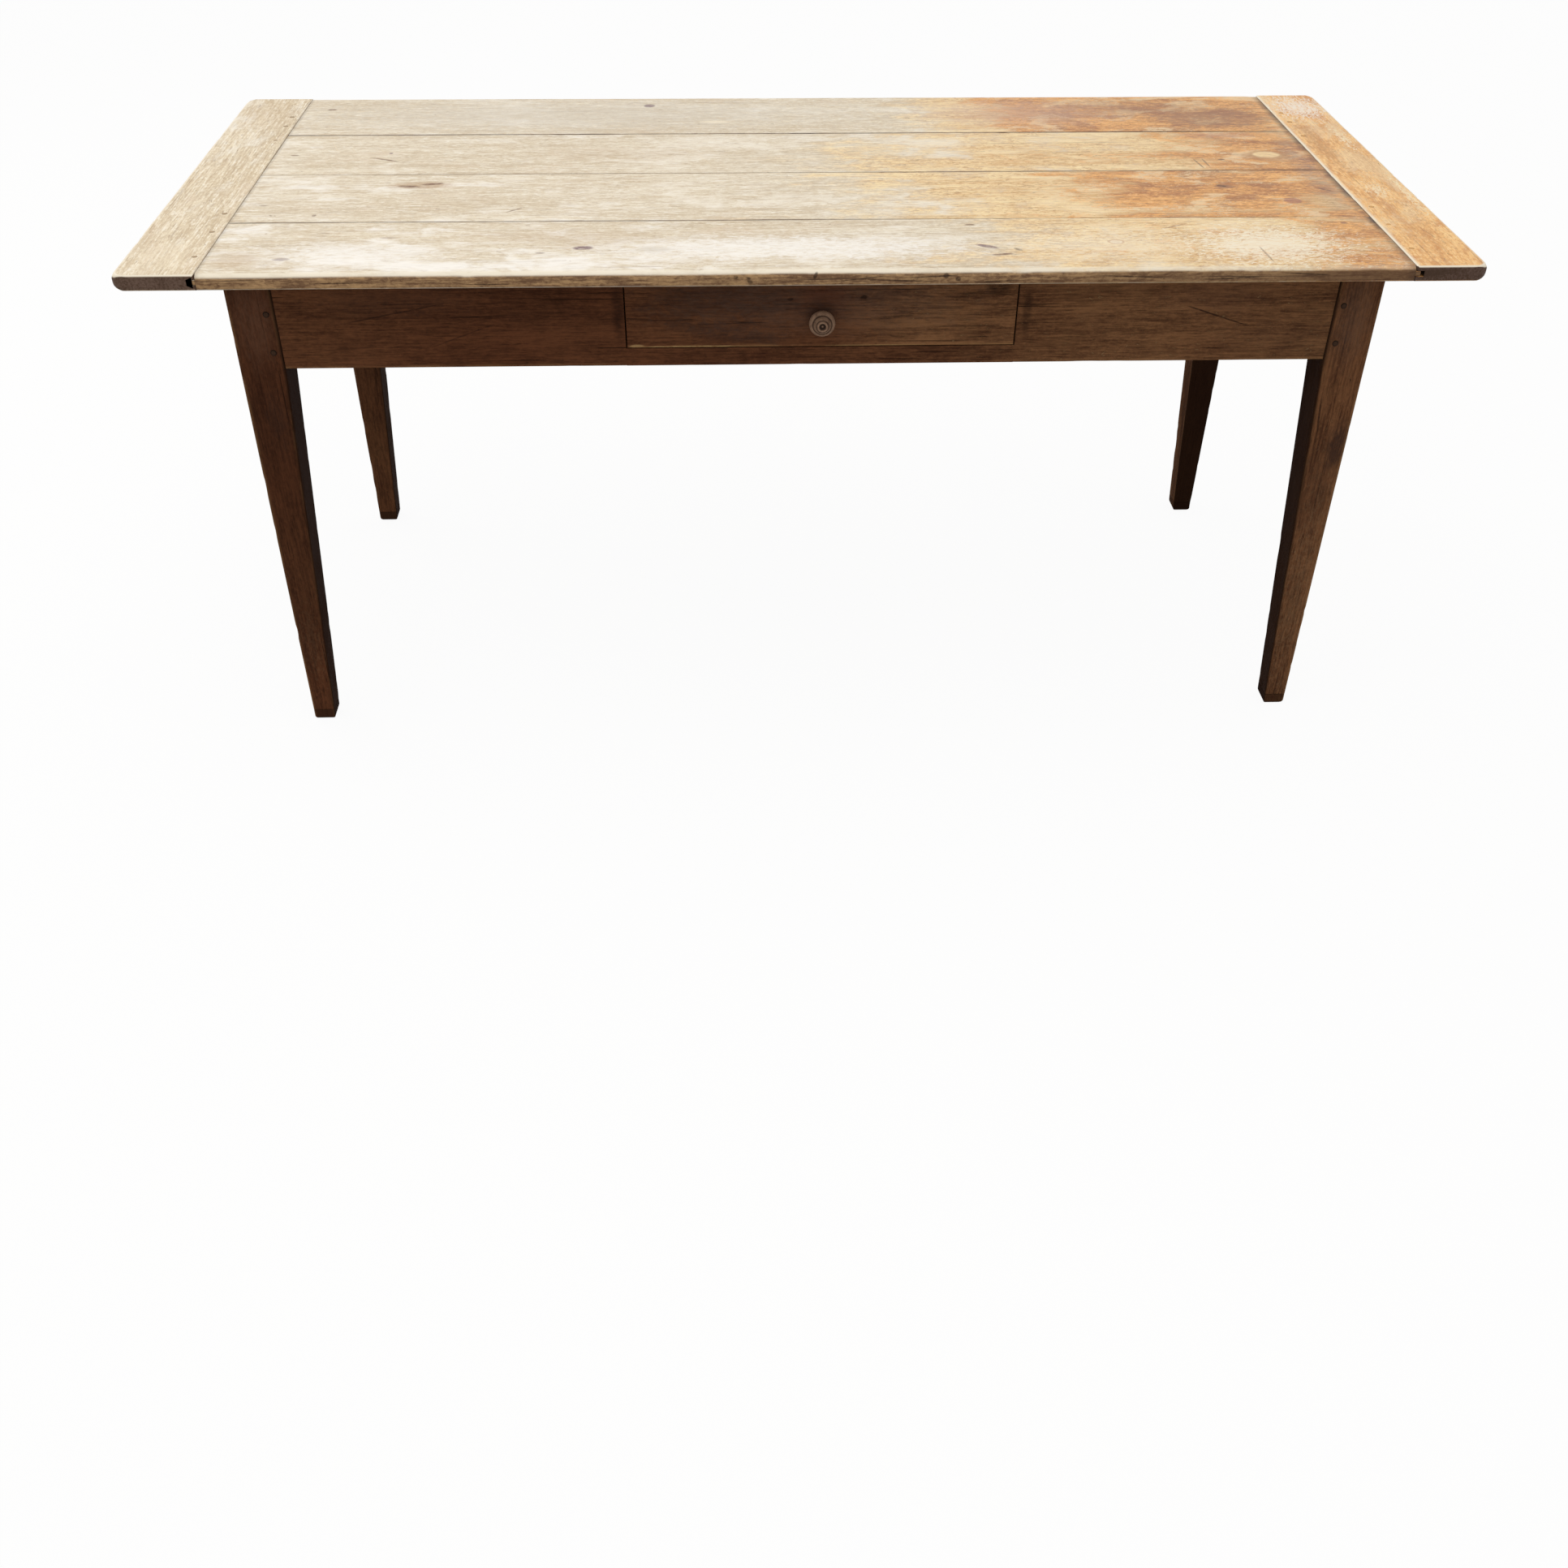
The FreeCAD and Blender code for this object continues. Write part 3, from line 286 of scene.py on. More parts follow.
@dataclass
class MeshParts:
    """Vertices, faces and wood state collected for one mesh."""

    places: list[Vector] = field(default_factory=list)
    faces: list[list[int]] = field(default_factory=list)
    grain: list[Vector] = field(default_factory=list)
    state: list[Vector] = field(default_factory=list)
    end: list[float] = field(default_factory=list)

    def add(self, place: Vector, grain: Vector, state: Vector, end: float) -> int:
        """Add a vertex and return its number."""
        self.places.append(place)
        self.grain.append(grain)
        self.state.append(state)
        self.end.append(end)
        return len(self.places) - 1

    def skin(self, rings: list[list[int]]) -> None:
        """Join each ring of vertices to the next one with four-sided faces."""
        for here, there in zip(rings, rings[1:]):
            for number in range(len(here)):
                after = (number + 1) % len(here)
                self.faces.append([here[number], here[after], there[after], there[number]])

    def to_object(self, name: str, sharp_degrees: float = 38.0) -> Item:
        """Mesh object with outward normals, smooth shading and the wood attributes.

        Args:
            name: name of the object and its mesh.
            sharp_degrees: edges bent more than this stay crisp.

        Returns:
            The object, linked to the scene.
        """
        mesh = bpy.data.meshes.new(name)
        mesh.from_pydata([tuple(place) for place in self.places], [], self.faces)
        work = bmesh.new()
        work.from_mesh(mesh)
        bmesh.ops.recalc_face_normals(work, faces=work.faces)
        work.to_mesh(mesh)
        work.free()
        mesh.shade_smooth()
        mesh.set_sharp_from_angle(angle=math.radians(sharp_degrees))
        for label, rows in (("grain", self.grain), ("state", self.state)):
            layer = mesh.attributes.new(label, "FLOAT_VECTOR", "POINT")
            layer.data.foreach_set("vector", [value for row in rows for value in row])
        layer = mesh.attributes.new("end_grain", "FLOAT", "POINT")
        layer.data.foreach_set("value", self.end)
        item = bpy.data.objects.new(name, mesh)
        bpy.context.scene.collection.objects.link(item)
        return item


@dataclass
class Board:
    """Length of wood swept along its grain.

    Attributes:
        run: direction of the grain.
        stations: places along the grain, rising.
        section: cross-section that is swept.
        seed: shifts the grain and the wear, so that no two boards look alike.
        shape: moves a section point at a station, for taper, waves and dents.
        fade: how faded the wood is at a place, from 0 to 1; on the top this also paints the window glare.
        soil_and_shade: how dirty the wood is at a place, from 0 to 1, and how much painted shade it takes.
        kept_dirt: share of the corners' dirt at a place.
        end_round: radius of the arris round both ends.
        end_reach: how far the end grain shows round the corners of both ends.
    """

    run: Run
    stations: list[float]
    section: list[SectionPoint]
    seed: float
    shape: Shape = straight
    fade: Share = even(0.5)
    soil_and_shade: Share = even(0.0)
    kept_dirt: Share = even(1.0)
    end_round: float = 1 * MM
    end_reach: float = 0.0

    def add_to(self, parts: MeshParts) -> None:
        """Add this board's rings, sides and end caps to a mesh."""
        stations = self._rounded_stations()
        parts.skin([self._ring(parts, along, inset, 0.0) for along, inset in stations])
        for along, inset in (stations[0], stations[-1]):
            parts.faces.append(self._ring(parts, along, inset, 1.0))

    def alone(self, name: str) -> Item:
        """Object of this board alone."""
        parts = MeshParts()
        self.add_to(parts)
        return parts.to_object(name)

    def _rounded_stations(self) -> list[Pair]:
        """Stations with how far the section is drawn in at each, for the arris at both ends."""
        first, last = self.stations[0], self.stations[-1]
        radius = self.end_round
        steps = [math.radians(angle) for angle in (0, 30, 60, 90)]
        curve = [(radius * (1 - math.sin(angle)), radius * (1 - math.cos(angle))) for angle in steps]
        start = [(first + inward, inset) for inset, inward in curve]
        end = [(last - inward, inset) for inset, inward in reversed(curve)]
        between = [(along, 0.0) for along in self.stations if first + radius < along < last - radius]
        return start + between + end

    def _ring(self, parts: MeshParts, along: float, inset: float, end: float) -> list[int]:
        """Vertices of the section at one station, drawn in from its outer faces only."""
        shaped = [self.shape(along, point) for point in self.section]
        left, right = min(across for across, _ in shaped), max(across for across, _ in shaped)
        low, high = min(up for _, up in shaped), max(up for _, up in shaped)
        ring = []
        for point, (across, up) in zip(self.section, shaped):
            across = min(max(across, left + inset), right - inset)
            up = min(max(up, low + inset), high - inset)
            place = self.run.point(along, across, up)
            spot = zip((along, across, up), GRAIN_SHIFT)
            grain = Vector([value + shift * self.seed for value, shift in spot])
            dirt = max(point.dirt * self.kept_dirt(place), self.soil_and_shade(place))
            state = Vector((point.wear, dirt, self.fade(place)))
            near_end = min(along - self.stations[0], self.stations[-1] - along) < self.end_reach
            ring.append(parts.add(place, grain, state, 1.0 if near_end else end))
        return ring


def evenly(first: float, last: float, step: float) -> list[float]:
    """Numbers from first to last, no further apart than step."""
    count = max(1, math.ceil((last - first) / step))
    return [first + (last - first) * number / count for number in range(count + 1)]


def finish_piece(item: Item, body: Body, nodes: list[str],
                 material: Material) -> None:
    """Dress a piece and hand it to the frame.

    Args:
        item: the piece.
        body: body that it moves with.
        nodes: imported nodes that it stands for.
        material: its finish.
    """
    item.data.materials.append(material)
    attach(item, body.value)
    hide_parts(*nodes)
    LOG.info("%s: %d faces, for %s", item.name, len(item.data.polygons), ", ".join(nodes))


class Graph:
    """Short way to write one node tree."""

    def __init__(self, tree: Tree) -> None:
        """Write into a tree."""
        self.tree = tree

    def add(self, kind: str, inputs: dict[str | int, Feed] | None = None,
            **settings: object) -> bpy.types.Node:
        """Add a node.

        Args:
            kind: Blender's name of the node type.
            inputs: what goes into its sockets, as values or sockets of other nodes.
            settings: properties of the node.

        Returns:
            The node.
        """
        node = self.tree.nodes.new(kind)
        for name, value in settings.items():
            setattr(node, name, value)
        for key, value in (inputs or {}).items():
            self.feed(node.inputs[key], value)
        return node

    def feed(self, socket: Socket, value: Feed) -> None:
        """Link a socket to another, or set its value; colours are opaque."""
        if isinstance(value, Socket):
            self.tree.links.new(value, socket)
        elif socket.type == "RGBA":
            socket.default_value = (*value, 1.0)
        else:
            socket.default_value = value

    def math(self, operation: str, first: Feed, second: Feed = 0.0) -> Socket:
        """Result of a Math node."""
        return self.add("ShaderNodeMath", {0: first, 1: second}, operation=operation).outputs[0]

    def times(self, *factors: Feed) -> Socket:
        """Product of two or more values."""
        result = factors[0]
        for factor in factors[1:]:
            result = self.math("MULTIPLY", result, factor)
        return result

    def total(self, *terms: tuple[Feed, float]) -> Socket:
        """Weighted sum of several values."""
        result: Feed = 0.0
        for value, weight in terms:
            node = self.add("ShaderNodeMath", {0: value, 1: weight, 2: result}, operation="MULTIPLY_ADD")
            result = node.outputs[0]
        return result

    def blend(self, factor: Feed, first: Feed, second: Feed) -> Socket:
        """Colour mixed from two."""
        return self.add("ShaderNodeMix", {0: factor, 6: first, 7: second}, data_type="RGBA").outputs[2]

    def layers(self, colour: Feed, *covers: tuple[Feed, Feed]) -> Feed:
        """Colour with others laid over it in turn, each given with its share before it."""
        for share, cover in covers:
            colour = self.blend(share, colour, cover)
        return colour

    def ramp(self, value: Feed, low: Feed, high: Feed, start: float = 0.0,
             end: float = 1.0) -> Socket:
        """Smooth step of a value from start at low to end at high."""
        node = self.add(
            "ShaderNodeMapRange",
            {"Value": value, "From Min": low, "From Max": high, "To Min": start, "To Max": end},
            interpolation_type="SMOOTHSTEP",
        )
        return node.outputs["Result"]

    def vector(self, operation: str, first: Feed, second: Feed = (0.0, 0.0, 0.0)) -> bpy.types.Node:
        """Vector Math node."""
        return self.add("ShaderNodeVectorMath", {0: first, 1: second}, operation=operation)

    def turned(self, vector: Feed, degrees: float) -> Socket:
        """Coordinates turned about their third axis."""
        inputs = {"Vector": vector, "Angle": math.radians(degrees)}
        return self.add("ShaderNodeVectorRotate", inputs).outputs["Vector"]

    def noise(self, vector: Feed, scale: tuple[float, float, float], detail: float, rough: float,
              twist: float = 0.0) -> Socket:
        """Noise with its own scale along each axis of the coordinates.

        Args:
            vector: the coordinates.
            scale: waves per metre along each axis, roughly.
            detail: how many finer layers it has.
            rough: how strong those are.
            twist: how far it is distorted.

        Returns:
            The noise value.
        """
        stretched = self.vector("MULTIPLY", vector, scale).outputs[0]
        inputs = {"Vector": stretched, "Scale": 1.0, "Detail": detail, "Roughness": rough}
        return self.add("ShaderNodeTexNoise", inputs | {"Distortion": twist}).outputs[0]

    def give(self, values: dict[str, Socket]) -> None:
        """Send values to the outputs of a group."""
        sink = self.add("NodeGroupOutput")
        for name, value in values.items():
            self.feed(sink.inputs[name], value)

    def attribute(self, name: str) -> bpy.types.Node:
        """Vertex attribute of the mesh."""
        return self.add("ShaderNodeAttribute", attribute_name=name)

    def split(self, vector: Feed) -> tuple[Socket, ...]:
        """The three parts of a vector."""
        return tuple(self.add("ShaderNodeSeparateXYZ", {0: vector}).outputs)


def new_group(name: str, inputs: list[tuple[str, str]],
              outputs: list[str]) -> tuple[Tree, Graph]:
    """Empty shader group.

    Args:
        name: name of the group.
        inputs: name and socket kind of each input.
        outputs: names of the outputs, which are values.

    Returns:
        The group's tree and a writer for it.
    """
    tree = bpy.data.node_groups.new(name, "ShaderNodeTree")
    for label, kind in inputs:
        tree.interface.new_socket(name=label, in_out="INPUT", socket_type=f"NodeSocket{kind}")
    for label in outputs:
        tree.interface.new_socket(name=label, in_out="OUTPUT", socket_type="NodeSocketFloat")
    return tree, Graph(tree)


class Effects:
    """Shader groups that several finishes share."""

    def __init__(self) -> None:
        """Build each group once."""
        self.grain = self._grain()
        self.wear = self._wear()
        self.spot = self._spot()

    @staticmethod
    def _grain() -> Tree:
        """Grain along the first coordinate: streaks, growth rings, fibres, short pores and long cracks."""
        outputs = ["Streak", "Ring", "Fibre", "Pore", "Crack"]
        tree, graph = new_group("Wood grain", [("Vector", "Vector")], outputs)
        source = graph.add("NodeGroupInput").outputs["Vector"]
        bend = graph.noise(source, (1.4, 5.0, 5.0), 2.0, 0.5)
        _, across, up = graph.split(source)
        depth = graph.total((across, 70.0), (up, 25.0), (bend, 16.0))
        rings = graph.math("SINE", depth)
        pore = graph.noise(source, (40.0, 620.0, 620.0), 1.0, 0.5)
        crack = graph.noise(source, (4.5, 240.0, 240.0), 3.0, 0.55, 0.35)
        values = {
            "Streak": graph.noise(source, (1.3, 30.0, 30.0), 4.0, 0.62, 0.4),
            "Ring": graph.total((rings, 0.5), (1.0, 0.5)),
            "Fibre": graph.noise(source, (20.0, 360.0, 360.0), 3.0, 0.7),
            "Pore": graph.ramp(pore, 0.60, 0.72),
            "Crack": graph.ramp(crack, 0.655, 0.70),
        }
        graph.give(values)
        return tree

    @staticmethod
    def _wear() -> Tree:
        """Use marks: broad blotches, ragged clouds, fine flecks, sparse dents, scuffs and hair scratches."""
        outputs = ["Blotch", "Cloud", "Fleck", "Dent", "Scuff", "Scratch"]
        tree, graph = new_group("Use marks", [("Vector", "Vector")], outputs)
        source = graph.add("NodeGroupInput").outputs["Vector"]
        patches = graph.noise(source, (9.0, 18.0, 18.0), 3.0, 0.6, 0.6)
        fleck = graph.noise(source, (110.0, 230.0, 230.0), 4.0, 0.75, 0.6)
        dent = graph.noise(graph.turned(source, 7.0), (42.0, 190.0, 190.0), 2.0, 0.6, 0.8)
        lines: list[tuple[Feed, float]] = []
        for turn in (24.0, -38.0, 71.0):
            hair = graph.noise(graph.turned(source, turn), (9.0, 420.0, 1.0), 1.0, 0.4)
            lines.append((graph.ramp(hair, 0.73, 0.79), 0.8))
        values = {
            "Blotch": graph.noise(source, (3.2, 9.0, 9.0), 4.0, 0.6, 0.3),
            "Cloud": graph.noise(source, (15.0, 26.0, 26.0), 7.0, 0.68, 0.5),
            "Fleck": fleck,
            "Dent": graph.ramp(dent, 0.70, 0.73),
            "Scuff": graph.ramp(graph.total((patches, 0.6), (fleck, 0.4)), 0.525, 0.57),
            "Scratch": graph.total(*lines),
        }
        graph.give(values)
        return tree

    @staticmethod
    def _spot() -> Tree:
        """One ragged oval mark, 1 in its middle and 0 outside."""
        inputs = [(name, "Vector") for name in ("Vector", "Centre", "Spread", "Turn")]
        inputs += [(name, "Float") for name in ("Uneven", "Ragged", "Core")]
        tree, graph = new_group("Spot", inputs, ["Mask"])
        source = graph.add("NodeGroupInput").outputs
        offset = graph.vector("SUBTRACT", source["Vector"], source["Centre"]).outputs[0]
        turn = {"Vector": offset, "Rotation": source["Turn"]}
        turned = graph.add("ShaderNodeVectorRotate", turn, rotation_type="EULER_XYZ").outputs[0]
        scaled = graph.vector("DIVIDE", turned, source["Spread"]).outputs[0]
        distance = graph.vector("LENGTH", scaled).outputs["Value"]
        shift = graph.times(graph.math("SUBTRACT", source["Uneven"], 0.5), source["Ragged"])
        graph.give({"Mask": graph.ramp(graph.math("ADD", distance, shift), 1.0, source["Core"])})
        return tree


@dataclass(frozen=True)
class Mark:
    """Local mark on a surface.

    Attributes:
        centre: where it is.
        spread: how far it reaches along each axis.
        turn: angles by which it is turned about each axis.
        colour: its colour.
        strength: how far it covers what is under it.
        ragged: how uneven its outline is.
        core: share of its reach at full strength; a share near 1 gives a crisp outline.
    """

    centre: tuple[float, float, float]
    spread: tuple[float, float, float]
    turn: tuple[float, float, float]
    colour: Colour
    strength: float
    ragged: float
    core: float


def top_mark(x: float, y: float, long: float, wide: float, colour: Colour, strength: float,
             ragged: float, core: float, turn: float = 0.0) -> Mark:
    """Mark on the top: place and reach in millimetres, turn in degrees seen from above."""
    centre = (x * MM, y * MM, TOP_FACE * MM)
    spread = (long * MM, wide * MM, TOP_MARK_DEPTH * MM)
    return Mark(centre, spread, (0.0, 0.0, math.radians(-turn)), colour, strength, ragged, core)


def front_mark(x: float, z: float, long: float, high: float, colour: Colour, strength: float,
               ragged: float, core: float, turn: float = 0.0, face: float = FRAME_FACE) -> Mark:
    """Mark on a face at the front: place and reach in millimetres, turn in degrees seen from the front."""
    centre = (x * MM, face * MM, z * MM)
    spread = (long * MM, FRONT_MARK_DEPTH * MM, high * MM)
    return Mark(centre, spread, (0.0, math.radians(turn), 0.0), colour, strength, ragged, core)


class Finish:
    """Common ground of the finishes: a material, and ways to read the wood's state and to lay marks on it."""

    def __init__(self, name: str, effects: Effects) -> None:
        """Start a material.

        Args:
            name: name of the material.
            effects: shared shader groups.
        """
        self.effects = effects
        self.material = bpy.data.materials.new(name)
        self.material.use_nodes = True
        tree = self.material.node_tree
        tree.nodes.clear()
        self.graph = Graph(tree)
        self.shader = self.graph.add("ShaderNodeBsdfPrincipled")
        output = self.graph.add("ShaderNodeOutputMaterial")
        tree.links.new(self.shader.outputs[0], output.inputs["Surface"])

    def group(self, tree: Tree,
              inputs: dict[str | int, Feed]) -> Outputs:
        """Outputs of a shared group placed in this material."""
        node = self.graph.tree.nodes.new("ShaderNodeGroup")
        node.node_tree = tree
        for key, value in inputs.items():
            self.graph.feed(node.inputs[key], value)
        return node.outputs

    def wood_state(self) -> tuple[Socket, ...]:
        """How worn, dirty and faded the wood is, which also carries painted highlights, shade and glare, and
        where its end grain shows.
        """
        parts = self.graph.split(self.graph.attribute("state").outputs["Vector"])
        return *parts, self.graph.attribute("end_grain").outputs["Fac"]

    def wood_patterns(self, place: Feed) -> tuple[Outputs, ...]:
        """Outputs of the shared grain and of the shared use marks at coordinates along the grain."""
        return tuple(self.group(tree, {"Vector": place}) for tree in (self.effects.grain, self.effects.wear))

    def set_shader(self, colour: Feed, rough: Feed, specular: float) -> None:
        """Feed the shader's colour and roughness and set how far it reflects."""
        self.graph.feed(self.shader.inputs["Base Color"], colour)
        self.graph.feed(self.shader.inputs["Roughness"], rough)
        self.shader.inputs["Specular IOR Level"].default_value = specular

    def lay_marks(self, colour: Feed, marks: tuple[Mark, ...]) -> Feed:
        """Colour with local marks laid over it, placed in the table's frame and uneven along the grain."""
        graph = self.graph
        place = graph.add("ShaderNodeTexCoord").outputs["Object"]
        along = graph.attribute("grain").outputs["Vector"]
        uneven = graph.noise(along, (60.0, 110.0, 110.0), 6.0, 0.72, 0.8)
        flecked = graph.noise(along, (130.0, 270.0, 270.0), 4.0, 0.7, 0.6)
        fine = graph.noise(along, (90.0, 340.0, 340.0), 3.0, 0.7)
        worn_through = graph.ramp(fine, 0.34, 0.56, 0.45, 1.0)
        for mark in marks:
            outline = flecked if mark.ragged > FLECKED else uneven
            inputs = {
                "Vector": place, "Centre": mark.centre, "Spread": mark.spread, "Turn": mark.turn,
                "Uneven": outline, "Ragged": mark.ragged, "Core": mark.core,
            }
            mask = self.group(self.effects.spot, inputs)["Mask"]
            colour = graph.blend(graph.times(mask, worn_through, mark.strength), colour, mark.colour)
        return colour

    def relief(self, height: Feed, depth: float, strength: float) -> None:
        """Feed a height into the shader's normal."""
        bump = self.graph.add("ShaderNodeBump", {"Height": height, "Distance": depth, "Strength": strength})
        self.graph.feed(self.shader.inputs["Normal"], bump.outputs["Normal"])


@dataclass(frozen=True)
class TopColours:
    """Colours of the top: painted sheen, faded pale wood under a painted glare, straw and honey wood, their
    edges, joints and scuffs.
    """

    # Painted sheen: the white of the window's reflection, also its fine white glints in the pale wood.
    sheen: Colour = (0.98, 0.95, 0.90)
    cream: Colour = (0.95, 0.89, 0.77)
    tan: Colour = (0.66, 0.52, 0.37)
    pale_light: Colour = (0.865, 0.785, 0.635)
    pale_dark: Colour = (0.63, 0.52, 0.37)
    straw_light: Colour = (0.98, 0.80, 0.48)
    straw_dark: Colour = (0.72, 0.45, 0.20)
    honey_light: Colour = (0.92, 0.50, 0.17)
    honey_dark: Colour = (0.50, 0.205, 0.070)
    brown: Colour = (0.31, 0.125, 0.06)
    scuff: Colour = (0.97, 0.80, 0.54)
    pore: Colour = (0.26, 0.16, 0.10)
    edge_light: Colour = (0.50, 0.315, 0.158)
    edge_dark: Colour = (0.172, 0.094, 0.051)
    edge_honey: Colour = (0.104, 0.048, 0.025)
    end_grain: Colour = (0.135, 0.088, 0.074)
    joint: Colour = (0.070, 0.040, 0.026)
    # Pale of worn arrises, also used for the painted highlights along the top's arrises.
    worn: Colour = (0.96, 0.88, 0.73)
    under_light: Colour = (0.36, 0.235, 0.135)
    under_dark: Colour = (0.185, 0.112, 0.060)


class TopFinish(Finish):
    """Waxed old boards, faded pale under a painted window glare at one end and honey brown at the other."""

    def __init__(self, name: str, effects: Effects, colours: TopColours, marks: tuple[Mark, ...],
                 edge_marks: tuple[Mark, ...], scuffed: float, rubbed: float) -> None:
        """Build the finish.

        Args:
            name: name of the material.
            effects: shared shader groups.
            colours: colours of the wood.
            marks: knots, stains and rings on its face.
            edge_marks: holes and cracks in its edges.
            scuffed: how far the pale scuffs cover the honey-coloured wood.
            rubbed: how pale the arrises of the honey-coloured wood are.
        """
        super().__init__(name, effects)
        graph = self.graph
        worn, dirt, fade, end = self.wood_state()
        grain, use = self.wood_patterns(graph.attribute("grain").outputs["Vector"])

        # The pale zone on the left is faded wood with a painted window glare over it; the fade carries both.
        ragged = graph.total((fade, 1.0), (use["Blotch"], 0.9), (use["Cloud"], 0.9), (use["Fleck"], 0.45))
        bleached_and_glare = graph.ramp(ragged, 1.46, 1.80)
        dulled = graph.ramp(ragged, 1.17, 1.38)
        # Painted sheen: white patches of the window's reflection, strongest where the fade is highest, along
        # the front plank on the left.
        cloudy = graph.total((fade, 1.0), (use["Blotch"], 1.3), (use["Cloud"], 0.8), (grain["Streak"], 0.4))
        sheen_patches = graph.ramp(cloudy, 2.36, 2.66)
        coarse = graph.total((grain["Streak"], 0.4), (use["Cloud"], 0.4))
        shade = graph.ramp(graph.total((coarse, 1.0), (grain["Fibre"], 0.7), (use["Fleck"], 0.7)), 0.90, 1.28)
        soft = graph.total((use["Blotch"], 0.5), (use["Cloud"], 0.5))
        fine = graph.total((use["Fleck"], 0.6), (grain["Fibre"], 0.6))
        pale = graph.layers(
            graph.blend(shade, colours.pale_light, colours.pale_dark),
            (graph.ramp(soft, 0.49, 0.60, 0.0, 0.65), colours.cream),
            (graph.ramp(soft, 0.47, 0.37, 0.0, 0.45), colours.tan),
            (graph.ramp(fine, 0.62, 0.76, 0.0, 0.50), colours.tan),
            (graph.ramp(fine, 0.58, 0.44, 0.0, 0.45), colours.sheen),
        )
        warm = graph.layers(
            graph.blend(shade, colours.honey_light, colours.honey_dark),
            (graph.ramp(use["Cloud"], 0.50, 0.60, 0.0, 0.5), colours.brown),
            (dulled, graph.blend(shade, colours.straw_light, colours.straw_dark)),
            (graph.ramp(use["Fleck"], 0.53, 0.64, 0.0, 0.45), colours.brown),
            (graph.ramp(use["Fleck"], 0.46, 0.36, 0.0, 0.25), colours.scuff),
            (graph.times(use["Scuff"], scuffed), colours.scuff),
        )
        pitted = graph.total((grain["Pore"], 0.30), (grain["Crack"], 0.35), (use["Dent"], 0.55))
        colour = graph.layers(
            warm,
            (bleached_and_glare, pale),
            (graph.times(sheen_patches, 0.85), colours.sheen),
            (graph.times(use["Scratch"], 0.35), colours.scuff),
            (pitted, colours.pore),
        )

        _, _, upward = graph.split(graph.add("ShaderNodeNewGeometry").outputs["Normal"])
        side = graph.ramp(graph.math("ABSOLUTE", upward), 0.66, 0.34)
        edge = graph.layers(
            graph.blend(shade, colours.edge_light, colours.edge_dark),
            (graph.ramp(fade, 0.60, 0.10, 0.0, 0.70), colours.edge_honey),
            (graph.times(grain["Crack"], 0.85), colours.joint),
        )
        uneven = graph.ramp(use["Cloud"], 0.35, 0.55, 0.6, 1.0)
        # Arrises rubbed pale by wear; along the front nose and the right end's proud inner arris this pale is
        # also a painted highlight.
        rub = graph.times(worn, uneven, graph.ramp(fade, 0.10, 0.60, rubbed, 1.0))
        # Painted highlight on the upper arris round the ends of the bread-board ends, where the surface turns
        # upward.
        end_highlight = graph.times(graph.ramp(upward, 0.34, 0.55), graph.ramp(upward, 0.97, 0.85), end)
        colour = graph.layers(
            self.lay_marks(colour, marks),
            (rub, colours.worn),
            (side, edge),
            (graph.ramp(upward, -0.45, -0.80), graph.blend(shade, colours.under_light, colours.under_dark)),
            (graph.times(end, side, 0.92), graph.blend(shade, colours.end_grain, colours.joint)),
            (end_highlight, colours.worn),
        )
        # Dirt in the joints, with painted shade in the grooves and a painted shadow along the planks beside
        # the proud right end.
        grime_and_shade = graph.times(dirt, graph.ramp(use["Cloud"], 0.30, 0.55, 0.55, 1.0))
        colour = graph.blend(grime_and_shade, self.lay_marks(colour, edge_marks), colours.joint)

        rough = graph.total((use["Scuff"], 0.16), (grain["Fibre"], 0.16), (bleached_and_glare, 0.06), (side, 0.15))
        self.set_shader(colour, graph.math("ADD", rough, 0.32), 0.10)
        pits = graph.total((grain["Pore"], -0.6), (grain["Crack"], -0.8), (use["Dent"], -0.8))
        self.relief(graph.total((grain["Fibre"], 0.5), (pits, 1.0)), 0.5 * MM, 0.5)


@dataclass(frozen=True)
class FrameColours:
    """Colours of the dark underframe."""

    deep: Colour = (0.052, 0.020, 0.011)
    red_brown: Colour = (0.132, 0.049, 0.023)
    brown: Colour = (0.250, 0.122, 0.056)
    pore: Colour = (0.018, 0.008, 0.005)
    rubbed: Colour = (0.30, 0.16, 0.072)
    fleck: Colour = (0.40, 0.26, 0.13)
    # Painted shade on the legs' inner faces and a painted shadow on the left legs.
    grime_and_shade: Colour = (0.018, 0.008, 0.005)


